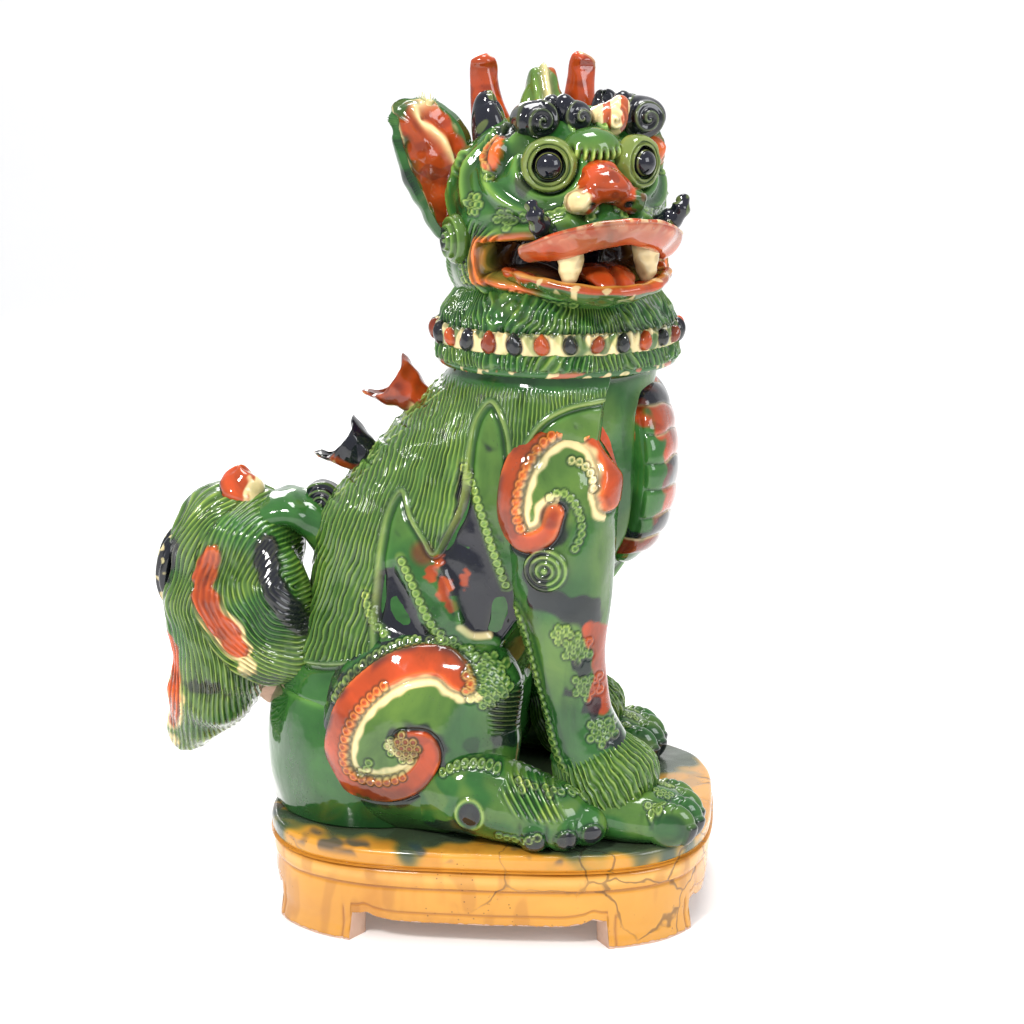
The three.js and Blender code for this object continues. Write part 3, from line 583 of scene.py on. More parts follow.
wallOut = spline([[5.0, -11.4], [3.0, -11.8], [1.4, -12.8], [0.6, -14.5], [0.4, -17.5], [0.6, -20.5], [1.4, -22.6], [2.8, -23.6], [2.9, -24.6], [2.4, -26.5], [2.0, -31], [2.2, -36], [3.0, -40], [3.6, -43]], 90)
shareDown = np.clip((wallOut[:, 1] + 26) / (wallOut[-1, 1] + 26), 0, 1)[:, None]
outLevels = wallOut[:, 1][:, None] + (lowEdge[None] - wallOut[-1, 1]) * shareDown**1.6
insets = np.broadcast_to(wallOut[:, 0][:, None], outLevels.shape).copy()
# feet flare a little at the ground
insets -= 2.6 * ramp(-outLevels, 47, 60) * isFoot[None]
outer = np.stack([ovalRow(insets[k], outLevels[k], turns) for k in range(len(outLevels))])
innerInset = 15.0
shareUp = np.linspace(0, 1, 26)
inner = np.stack([ovalRow(innerInset + 0 * turns, mix(lowEdge + 0.6, -11.6, s), turns) for s in shareUp])
hemRows = np.stack([
    ovalRow(mix(insets[-1], innerInset, s), lowEdge - (0.5 * math.sin(math.pi * s)) * ~isFoot, turns) for s in (0.06, 0.3, 0.7, 0.94)])
wallTop = np.stack([ovalRow(mix(innerInset, 5.0, s) + 0 * turns, -11.5 + 0 * turns, turns) for s in (0.2, 0.6, 0.9)])
wall = Clay(np.concatenate([outer, hemRows, inner, wallTop]), color="amber")
outside = np.zeros(wall.height.shape)
outside[: len(outer)] = 1
wall.height += 0.3 * wobble(wall.p, 40, 21) * outside
# a line cut along the apron, a little above its edge, and round the feet
edgeAbove = wall.z - lowEdge[None]
cut = np.exp(-((edgeAbove - 6.0) / 0.8) ** 2) * outside * ~isFoot[None]
footCut = np.exp(-((edgeGap - 5.0) / 0.8) ** 2)[None] * outside * isFoot[None] * ramp(-wall.z, 36, 42)
wall.height -= 0.9 * np.clip(cut + footCut, 0, 1)
wall.paint((0.34, 0.12, 0.018), 0.7 * np.clip(cut + footCut, 0, 1))
wall.paint((0.36, 0.13, 0.02), 0.75 * np.exp(-((wall.z + 23.9) / 1.1) ** 2) * outside)
wall.paint((0.30, 0.11, 0.02), 0.8 * np.exp(-((wall.z + 11.8) / 1.0) ** 2) * outside)
wall.paint((0.80, 0.46, 0.12), 0.5 * np.exp(-((wall.z + 17.0) / 2.6) ** 2) * outside)
drips = ramp(wobble(wall.p * [1, 1, 0.3], 16, 24), 0.35, 0.9) * outside
wall.paint((0.42, 0.165, 0.022), 0.45 * drips)
wall.paint("clay", 1.0 * (1 - outside) * (wall.z < -40))
# painted shade: the inside of the plinth wall darkens upward, towards the underside of the deck
wall.paint((0.10, 0.07, 0.05), 0.6 * (1 - outside) * ramp(wall.z, -40, -14))
wall.bare = 0.62 * np.exp(-(edgeAbove / 1.3) ** 2) + 0.26 * np.exp(-((wall.z + 14) / 1.6) ** 2) * outside + 0.5 * (1 - outside)
wall.bare += 0.35 * ramp(-wall.z, 53, 60) * isFoot[None]
build(wall, "plinthWall", "figure", ["plinth_wall"], amberGlaze, loop=True)
print("plinth done")


def inside(u, v, outline):
    # crossing test: whether each (u, v) lies within a closed outline
    outline = np.asarray(outline, float)
    after = np.roll(outline, -1, 0)
    found = np.zeros(u.shape, bool)
    for (a, b), (c, d) in zip(outline, after):
        if b == d:
            continue
        found ^= ((b > v) != (d > v)) & (u < (c - a) * (v - b) / (d - b) + a)
    return found


def softInside(u, v, outline, edge):
    # 1 within the outline and 0 beyond it, eased over the given width
    closed = np.vstack([outline, outline[:1]])
    distance = nearCurve(u, v, closed, 40)[0]
    return ramp(np.where(inside(u, v, outline), distance, -distance), -edge, edge)


def ribbon(clay, u, v, curve, half, rise, colors, mask=1.0, beads=True):
    # a raised band with rounded edges: main colour, dark outer edge, light inner line with pressed circles
    curve = spline(curve, 90)
    distance, along, side = nearCurve(u, v, curve, half + 12)
    width = half * mix(1.0, 0.72, ramp(along, 0.6, 1.0)) * ramp(along, -0.05, 0.03)
    body = ramp(width - distance, -1.0, 1.6)
    clay.height += mask * rise * body
    clay.height -= mask * 0.9 * np.exp(-(((distance - width - 1.2) / 1.2) ** 2))
    main, outer, inner = colors
    innerSide = ramp(side * distance, 0.15 * half, 0.75 * half)
    outerSide = ramp(-side * distance, 0.25 * half, 0.9 * half)
    fray = 0.8 * wobble(clay.p, 13, 31)
    clay.paint(inner, 0.95 * ramp(width + 5.5 + fray - distance, -1.0, 1.0) * (side > 0) * mask)
    clay.paint(outer, 0.92 * ramp(width + 5.0 + 2.2 * fray - distance, -1.5, 2.5) * (side < 0) * ramp(along, 0.1, 0.25) * mask)
    clay.paint(main, ramp(width + 0.4 * fray - distance, -0.8, 0.8) * mask)
    clay.paint(outer, 0.9 * outerSide * body * ramp(wobble(clay.p, 26, 32) + 0.55, 0, 0.7) * mask)
    clay.paint("rust", 0.5 * body * ramp(wobble(clay.p, 20, 34), 0.2, 0.7) * mask)
    if beads:
        step = unit(np.gradient(curve, axis=0))
        normal = np.stack([-step[:, 1], step[:, 0]], -1)
        inset = curve + normal * (half * 0.72)
        clay.circles(u, v, spaced(inset[22:-22], 5.2), mask * 0.75, 1.9, (0.62, 0.27, 0.05))


# ---- torso
torsoTable = np.array([
    [0.4, -141, -8, 82], [30, -145, 2, 86], [60, -143, 14, 85], [90, -131, 30, 82], [120, -118, 52, 80],
    [150, -111, 78, 78], [180, -107, 97, 76], [210, -83, 103, 74], [240, -56, 102, 71], [262, -34, 99, 67],
    [275, -24, 100, 62], [292, -24, 100, 62]], float)
torsoFine = spline(torsoTable, 400)
torsoFine[:, 0] = np.maximum.accumulate(torsoFine[:, 0])


def torsoPoint(turn, z, grow=0.0):
    # the body's oval section at a height, turn 0 at the breast and half a turn at the spine, right side first
    back, front, half = (np.interp(z, torsoFine[:, 0], torsoFine[:, k]) for k in (1, 2, 3))
    x = (front + back) / 2 + ((front - back) / 2 + grow) * np.cos(turn)
    return np.stack([x, -(half + grow) * np.sin(turn), z + 0 * turn], -1)


def clearOfHollow(p, depth=6.0):
    # points that would stand in the hollow of the body are moved out into its wall, along the oval section
    back, front, half = (np.interp(p[..., 2], torsoFine[:, 0], torsoFine[:, k]) for k in (1, 2, 3))
    middle = (front + back) / 2
    share = np.hypot((p[..., 0] - middle) / ((front - back) / 2 - depth), p[..., 1] / (half - depth))
    push = np.where((share < 1) & (p[..., 2] < torsoFine[-1, 0]), 1 / np.maximum(share, 0.1), 1.0)
    return np.stack([middle + (p[..., 0] - middle) * push, p[..., 1] * push, p[..., 2]], -1)


def combAcross(x, z):
    # coordinate across strokes that fan down from a point above the neck
    return (x - 39) * 331 / (531 - z) * 1.12


turn = np.linspace(0, 2 * np.pi, 300, endpoint=False)[None]
up = np.linspace(0.4, 292, 250)[:, None]
lip = [torsoPoint(turn, 292 + 0 * turn, -t)[0] + [0, 0, 1.2 * math.sin(math.pi * t / 9)] for t in (0.6, 2.5, 4.5, 6.5, 8.4)]
# the wall is thicker where the shoulders slope away from the neck
innerLevel = up[np.r_[249:205:-2, 205:0:-10]]
slope = torsoPoint(turn, innerLevel)
torsoInner = torsoPoint(turn, innerLevel, -9.0 - 6.0 * ramp(np.hypot(slope[..., 0] - neckX, slope[..., 1]), 70, 80))
torso = Clay(np.concatenate([torsoPoint(turn, up), np.array(lip), torsoInner]))
skin = (np.arange(len(torso.p)) < 250)[:, None]
torso.height += 0.5 * wobble(torso.p, 38, 41) * skin
backward = ramp(-torso.n[..., 0], 0.2, 0.7) * skin
torso.combed(torso.y * 1.0 + 0.8 * wobble(torso.p, 40, 42), 3.6, backward * ramp(torso.z, 175, 190) * ramp(-torso.z, -276, -268), 0.4)
chest = ramp(torso.n[..., 0], 0.1, 0.5) * skin
torso.height += 3.0 * chest * np.exp(-((torso.z - 135) / 26) ** 2) * np.exp(-(torso.y / 40) ** 2)
torso.height += 1.0 * np.exp(-((torso.z - 283) / 2.0) ** 2) * skin
torso.height -= 0.6 * np.exp(-((torso.z - 278.5) / 1.6) ** 2) * skin
# painted shade: the top of the body, under the overhanging collar, is darkened to deep green
torso.paint("deep", 0.7 * ramp(torso.z, 270, 280) * skin)
torso.paint("leaf", 0.55 * chest * ramp(wobble(torso.p, 50, 43), -0.4, 0.8))
# painted shade: the body darkens towards the bottom, where it meets the deck
torso.paint("deep", 0.6 * ramp(-torso.z, -26, -2) * skin)
lap = ramp(np.abs(torso.y), 6, 12) * ramp(torso.z, 74, 82) * ramp(-torso.z, -279, -272) * ramp(90 - torso.x + 0.1 * (torso.z - 180), 0, 12)
torso.height -= 4.5 * lap * skin
torso.paint("clay", 1.0 - skin)
torso.bare = np.broadcast_to(1.0 - skin, torso.height.shape) * 0.8
torso.bare[248:256] = 0.42
torso.pooled()
build(torso, "torso", "figure", ["torso"], figureGlaze, loop=True)

# ---- breast plates: stacked bands of alternate colour with a rib between them
plateStations = [[76, 0, 274, 6, 16], [84, 0, 262, 14, 26], [92, 0, 244, 16, 38], [95, 0, 215, 17, 44], [91, 0, 186, 17, 40],
                 [80, 0, 166, 14, 30], [70, 0, 156, 8, 20]]
plates = Clay(clearOfHollow(loft(plateStations, (0, 1, 0), 300, 220)))
bandEdges = [160, 172, 186, 203, 219, 236, 251, 265, 276]
fall = plates.z - 0.10 * np.abs(plates.y) * 1.2 + 1.5 * wobble(plates.p, 30, 51)
bandColors = ["rust", "black", "orange", "black", "orange", "orange", "black", "orange"]
for low, high, name in zip(bandEdges[:-1], bandEdges[1:], bandColors):
    band = ramp(fall, low - 1, low + 1) * (1 - ramp(fall, high - 1, high + 1))
    plates.paint(name, band)
    plates.height += 1.9 * np.sqrt(np.clip(1 - ((fall - (low + high) / 2) / ((high - low) / 2 + 0.01)) ** 2, 0, 1))
    plates.paint("cream", 0.85 * np.exp(-((fall - high) / 0.9) ** 2))
plates.paint("rust", 0.6 * ramp(wobble(plates.p, 18, 52), 0.3, 0.8))
plates.paint("green", ramp(np.abs(plates.y) + 2.5 * wobble(plates.p, 16, 53), 34, 37))
plates.height *= ramp(plates.n[..., 0], -0.2, 0.3)
plates.pooled()
build(plates, "breastPlates", "figure", ["chest_plates"], figureGlaze)

# ---- mane cape: combed locks over each flank, smooth leaf lobes between them, dark hollows below
hemLine = [[-112, 96], [-92, 100], [-69, 108], [-67, 128], [-64, 165], [-59, 193], [-50, 207], [-44, 193], [-36, 181],
           [-29, 172], [-20, 186], [-12, 204], [-9, 234], [-5, 252], [4, 262], [12, 250], [16, 228], [16, 209],
           [24, 236], [38, 254], [62, 262], [90, 262]]
hollows = [
    [[-14, 226], [-8, 221], [-2, 190], [8, 162], [12, 140], [9, 120], [-5, 122], [-17, 136], [-26, 158], [-25, 176], [-17, 194]],
    [[-64, 158], [-55, 162], [-46, 148], [-38, 130], [-29, 121], [-42, 117], [-62, 124], [-67, 138]],
    [[13, 160], [17, 148], [21, 128], [13, 116], [6, 124], [10, 142]],
]
chains = [[[-13, 226], [-7, 214], [-1, 196], [4, 180], [8, 168], [14, 152]], [[-50, 168], [-44, 156], [-38, 143], [-31, 130], [-24, 119]],
          [[-72, 146], [-68, 130], [-60, 122]]]
for word, side in sides.items():
    rows, cols = 310, 270
    a = np.linspace(0.30, 0.992, cols)[None] * np.pi
    level = np.linspace(70, 282, rows)[:, None]
    flat = torsoPoint(a, level)
    x, z = flat[..., 0], flat[..., 2]
    edge = np.minimum.reduce([ramp(np.arange(rows)[:, None] + 0 * a, 0, 12), ramp(rows - 1 - np.arange(rows)[:, None] + 0 * a, 0, 6),
                              ramp(np.arange(cols)[None] + 0 * level, 0, 8), ramp(cols - 1 - np.arange(cols)[None] + 0 * level, 0, 5)])
    outline = np.vstack([spline(hemLine, 160), [[110, 300], [-125, 300]]])
    hair = softInside(x, z, outline, 1.0)
    grow = mix(-2.5, 0.4 + 2.8 * hair, edge)
    sheet = torsoPoint(a, level, grow)
    behind = torsoPoint(a[:, ::-9], level, -3.4)
    cape = Clay(mirror(np.concatenate([sheet, behind], 1), side))
    out = np.zeros(cape.height.shape)
    out[:, :cols] = edge
    u, v = cape.x, cape.z
    hairAll = np.zeros(out.shape)
    hairAll[:, :cols] = hair
    hairAll *= out
    rim, along, _ = nearCurve(u, v, spline(hemLine, 200), 14)
    combMask = hairAll * ramp(rim, 1.6, 3.2) * ramp(-v + 0.8 * wobble(cape.p, 12, 66), -271, -266)
    cape.paint("leaf", 0.55 * combMask)
    cape.paint("green", 0.8 * out * (1 - hairAll))
    cape.paint("leaf", 0.75 * out * (1 - hairAll) * ramp(v, 165, 200) * ramp(rim, 2, 8))
    cape.combed(combAcross(u, v) + 1.1 * wobble(cape.p, 34, 61) + 0.25 * wobble(cape.p, 9, 62), 3.1, combMask * (0.72 + 0.28 * wobble(cape.p * [1, 1, 0.25], 7, 67)), 0.45)
    ridge = np.exp(-((rim / 1.35) ** 2)) * out
    cape.height += 1.1 * ridge - 1.2 * np.exp(-(((rim - 3.0) / 1.3) ** 2)) * out * (1 - hairAll)
    for outlineHollow in hollows:
        hollow = softInside(u, v, np.asarray(outlineHollow, float), 5.0) * out
        cape.height -= 3.4 * hollow
        cape.paint("black", ramp(hollow + 0.13 * wobble(cape.p, 15, 63) + 0.06 * wobble(cape.p, 5, 68), 0.14, 0.5))
    for cx, cz, r in ((-31, 160, 3.5), (-23, 151, 4.5), (-11, 157, 3), (-27, 168, 3), (-19, 142, 3)):
        cape.paint("orange", 0.95 * ramp(r - np.hypot(u - cx, (v - cz) * 0.6) + wobble(cape.p, 6, 64), -0.8, 0.8) * out)
    cape.paint("rust", 0.7 * ramp(7 - np.hypot(u + 36, v - 172), -3, 3) * out)
    cape.paint("cream", 0.8 * ramp(1.8 - nearCurve(u, v, spline([[-14, 128], [-6, 122], [4, 121]], 20), 9)[0], -1, 1) * out)
    rib, _, _ = nearCurve(u, v, spline([[-26, 165], [-19, 150], [-14, 132]], 20), 10)
    cape.height += 2.0 * np.exp(-((rib / 2.6) ** 2)) * out
    cape.paint("green", 0.8 * np.exp(-((rib / 2.2) ** 2)) * out * (v < 147))
    for chain in chains:
        line = spline(chain, 50)
        d, _, _ = nearCurve(u, v, line, 8)
        cape.height += 1.2 * np.exp(-((d / 3.0) ** 2)) * out
        cape.paint("leaf", 0.9 * ramp(3.4 - d, -1, 1) * out)
        cape.circles(u, v, spaced(line, 5.0), out, 1.9)
    cape.circles(u, v, cluster(-25, 116, 1.3, 14, 4.8), out, 1.8)
    # leaf scales lie over the spine
    spineMask = ramp(-np.abs(cape.y) + 3 * wobble(cape.p, 22, 69), -36, -31) * out * ramp(v, 184, 196) * ramp(-v, -268, -260)
    run = v * 1.25
    row = np.floor(run / 15)
    shift = (cape.y / 13 + 0.5 * (row % 2)) % 1 - 0.5
    share = (run / 15) % 1
    leafEdge = np.abs(share - (0.15 + 1.5 * np.abs(shift) ** 1.6 * 1.3))
    cape.height += spineMask * (1.3 * (share - 0.5) + 0.8 * np.exp(-((leafEdge / 0.1) ** 2)))
    cape.paint("pale", 0.7 * np.exp(-((leafEdge / 0.09) ** 2)) * spineMask)
    cape.comb *= 1 - spineMask
    cape.height += 0.35 * wobble(cape.p, 26, 65) * out
    cape.pooled(4, 1.3)
    cape.paint("pale", 0.75 * ridge)
    # painted shade: the top of the cape, under the overhanging collar, is darkened to deep green
    cape.paint("deep", 0.8 * ramp(v, 268, 279) * out)
    build(cape, "maneCape" + word.capitalize(), "figure", ["mane_cape_" + word], figureGlaze)
print("torso and cape done")

# ---- haunches
haunchCurve = [[-8, 98], [-23, 109], [-41, 109], [-59, 101], [-76, 85], [-86, 64], [-87, 43], [-77, 32], [-57, 31], [-39, 39], [-30, 53], [-33, 63], [-45, 64]]
for word, side in sides.items():
    field = lambda p: np.maximum(blendOf([lump(p, (-40, -62, 60), (62, 40, 66)), lump(p, (-6, -66, 88), (29, 30, 30)),
                                          lump(p, (-20, -70, 26), (40, 30, 28))], 9), 0.4 - p[..., 2])
    # turn the poles of the ray grid to face inward, where nothing shows
    swing = lambda p: p[..., [0, 2, 1]]
    turned = lambda p: field(np.stack([p[..., 0], p[..., 2], p[..., 1]], -1))
    haunch = swing(cast(turned, (-36, 58, -62), 300, 330, 100))
    thigh = Clay(mirror(clearOfHollow(haunch), side))
    u, v = thigh.x, thigh.z
    out = ramp(side * thigh.n[..., 1], 0.0, 0.35)
    thigh.height += 0.6 * wobble(thigh.p, 40, 71)
    # painted shade: the haunch darkens towards the bottom, where it meets the deck
    thigh.paint("deep", 0.5 * ramp(-v, -24, -4))
    thigh.paint("leaf", 0.5 * out * ramp(wobble(thigh.p, 55, 72), -0.5, 0.7))
    swirl = softInside(u, v, spline(haunchCurve[:10] + [haunchCurve[0]], 90)[:-1], 5)
    thigh.paint("leaf", 0.85 * out * swirl)
    ribbon(thigh, u, v, haunchCurve, 8.2, 2.2, ("orange", "black", "cream"), out)
    thigh.paint("rust", 0.75 * ramp(9 - np.hypot(u + 42, v - 60), -2, 2) * out)
    thigh.circles(u, v, spaced(spline([[-2, 110], [-16, 119], [-38, 120], [-60, 113], [-78, 99], [-92, 80]], 60), 4.9), out, 1.9)
    thigh.circles(u, v, cluster(4, 98, 0.9, 30, 4.9), out, 1.9)
    thigh.circles(u, v, cluster(-46, 60, 1.1, 16, 4.6), out, 1.8)
    thigh.circles(u, v, spaced(spline([[-74, 40], [-68, 44], [-66, 52]], 20), 4.7), out, 1.9)
    strands = softInside(u, v, np.array([[8, 66], [4, 84], [22, 92], [40, 84], [40, 66]], float), 3) * out
    thigh.combed(v + 0.35 * u, 3.2, strands, 0.5)
    thigh.paint("black", 0.8 * strands)
    for cx, cz, r in ((-96, 72, 5), (-92, 92, 4), (-70, 20, 6), (-5, 60, 6), (-14, 42, 5)):
        thigh.paint("deep", 0.8 * ramp(r - np.hypot(u - cx, v - cz) + 1.6 * wobble(thigh.p, 9, 73), -1, 1.5) * out)
    thigh.pooled(4, 1.3)
    for cx, cz, r in ((-99, 60, 6), (-97, 84, 7), (-90, 100, 6), (-80, 112, 5), (-60, 121, 5), (14, 60, 7), (-22, 22, 8)):
        thigh.paint("black", 0.85 * ramp(r - np.hypot(u - cx, v - cz) + 2.4 * wobble(thigh.p, 12, 74), -1, 1.5) * out)
    build(thigh, "haunch" + word.capitalize(), "figure", ["haunch_" + word, "haunch_scroll_" + word], figureGlaze)
print("haunches done")

# ---- forelegs
legStations = np.array([[40, 48, 246, 18, 10], [40, 48, 240, 26, 18], [39, 56, 216, 41, 28], [44, 59, 180, 34, 30], [46, 62, 150, 30, 27],
                        [50, 66, 110, 23, 23], [57, 66, 75, 20, 21], [66, 66, 45, 24, 24], [72, 66, 26, 20, 20], [74, 66, 16, 14, 14]], float)
shoulderCurve = [[74, 205], [77, 222], [70, 240], [58, 249], [44, 250], [29, 240], [18, 219], [16, 197], [24, 183], [38, 188], [43, 201]]
for word, side in sides.items():
    step = 0 if side < 0 else -26
    limb = loft(legStations * [1, -1, 1, 1, 1] + [step, 0, 0, 0, 0], (0, 1, 0), 380, 240, (0.06, 0.05))
    leg = Clay(mirror(clearOfHollow(limb), side))
    u, v = leg.x - step, leg.z
    out = ramp(side * leg.n[..., 1], -0.05, 0.35)
    leg.height += 0.6 * wobble(leg.p, 36, 81)
    leg.paint("leaf", 0.75 * out * ramp(wobble(leg.p, 48, 82) + 0.4, -0.3, 0.8) * ramp(v, 60, 110))
    # painted shade: the lower leg darkens below 60 mm, under the ankle fringe
    leg.paint("deep", 0.55 * ramp(-v, -60, -34))
    swirl = softInside(u, v, spline(shoulderCurve[:9] + [shoulderCurve[0]], 90)[:-1], 5)
    leg.paint("leaf", 0.8 * out * swirl)
    ribbon(leg, u, v, shoulderCurve, 7.6, 2.3, ("orange", "black", "cream"), out)
    leg.paint("rust", 0.85 * ramp(7 - np.hypot(u - 41, v - 199), -1.5, 1.5) * out)
    curlLine = spline([[54, 178], [59, 190], [56, 204], [47, 213], [37, 208]], 40)
    leg.circles(u, v, spaced(curlLine, 4.6), out, 1.7)
    leg.circles(u, v, spaced(spline([[50, 231], [58, 229], [64, 222], [66, 212]], 40), 4.6), out, 1.7, "cream")
    # elbow rosette of rings, with a dark run below it
    ring = np.hypot(u - 38, v - 167)
    rosette = ramp(13 - ring, -1.5, 1.5) * out
    leg.height += rosette * (2.6 * np.sqrt(np.clip(1 - (ring / 14) ** 2, 0, 1)) + 0.75 * np.sin(2 * np.pi * ring / 3.6))
    leg.paint("pale", 0.55 * rosette * ramp(np.sin(2 * np.pi * ring / 3.6), 0, 1))
    darkRun = nearCurve(u, v, spline([[33, 164], [36, 152], [44, 146], [56, 143], [64, 138]], 40), 30)[0]
    leg.paint("black", 0.95 * ramp(8.5 - darkRun + 1.8 * wobble(leg.p, 14, 83), -1.5, 1.5) * out * ramp(ring + 0.6 * (u - 38), 1, 4))
    strap = spline([[18, 140], [24, 128], [30, 105], [38, 76], [46, 50], [56, 32]], 70)
    d, _, strapSide = nearCurve(u, v, strap, 14)
    leg.height += 1.3 * np.exp(-((d / 4.0) ** 2)) * out
    leg.paint("deep", 0.8 * np.exp(-(((d - 5.6) / 1.6) ** 2)) * out)
    leg.circles(u, v, spaced(strap, 4.9), out, 1.9)
    for cx, cz, count in ((57, 119, 13), (63, 96, 12), (72, 68, 12), (48, 128, 6)):
        leg.circles(u, v, cluster(cx, cz, 1.0, count, 4.6), out, 1.8)
    for curve, half in (([[66, 128], [72, 118], [73, 96], [70, 84]], 7), ([[80, 186], [84, 172]], 0.1)):
        d = nearCurve(u, v, spline(curve, 30), 20)[0]
        leg.paint("orange", ramp(half - d + wobble(leg.p, 12, 84), -1, 1) * ramp(side * leg.n[..., 1], -0.5, -0.2))
    for cx, cz, r in ((60, 108, 5.5), (66, 82, 6), (80, 60, 5), (52, 92, 3)):
        leg.paint("black", 0.9 * ramp(r - np.hypot(u - cx, v - cz) + 1.6 * wobble(leg.p, 9, 85), -1, 1.2) * out)
    inner = ramp(-side * leg.n[..., 1], 0.2, 0.6)
    leg.combed(u + 0.2 * (v - 120), 3.6, inner * ramp(-v, -215, -190) * ramp(v, 70, 90), 0.35)
    leg.pooled(4, 1.3)
    build(leg, "foreleg" + word.capitalize(), "figure", ["foreleg_" + word, "shoulder_scroll_" + word, "elbow_rosette_" + word],
          figureGlaze)

    # ankle fringe: a combed cuff that flares over the paw, with a scalloped hem
    fringeStations = np.array([[59, 66, 56, 19, 20], [62, 66, 50, 24, 24], [68, 66, 40, 29, 28], [76, 66, 29, 32, 30], [82, 66, 21, 28, 27], [84, 66, 17, 16, 16]], float)
    cuff = Clay(mirror(loft(fringeStations * [1, -1, 1, 1, 1] + [step, 0, 0, 0, 0], (0, 1, 0), 150, 420, (0.1, 0.2)), side))
    cu, cv = gridParameters(cuff)
    cuff.combed(cu * 48 * 3.3 + 1.5 * np.sin(cv * 5) + 0.8 * wobble(cuff.p, 14, 86), 3.3,
                ramp(cv, 0.08, 0.2) * ramp(-cv, -0.86, -0.74) * (0.75 + 0.25 * wobble(cuff.p, 6, 87)), 0.6)
    cuff.height += 0.9 * np.sin(2 * np.pi * cu * 15) * ramp(cv, 0.45, 0.7)
    cuff.paint("leaf", 0.6 * ramp(cv, 0.1, 0.4))
    # painted shade: the low end of the cuff, under its flared hem over the paw, darkens to deep green
    cuff.paint("deep", 0.6 * ramp(cv, 0.72, 0.85))
    ringBand = np.exp(-(((cv - 0.10) / 0.045) ** 2))
    cuff.height += 1.8 * ringBand
    cuff.pooled(3, 1.0)
    build(cuff, "ankleFringe" + word.capitalize(), "figure", ["leg_fringe_" + word], figureGlaze)
print("forelegs done")

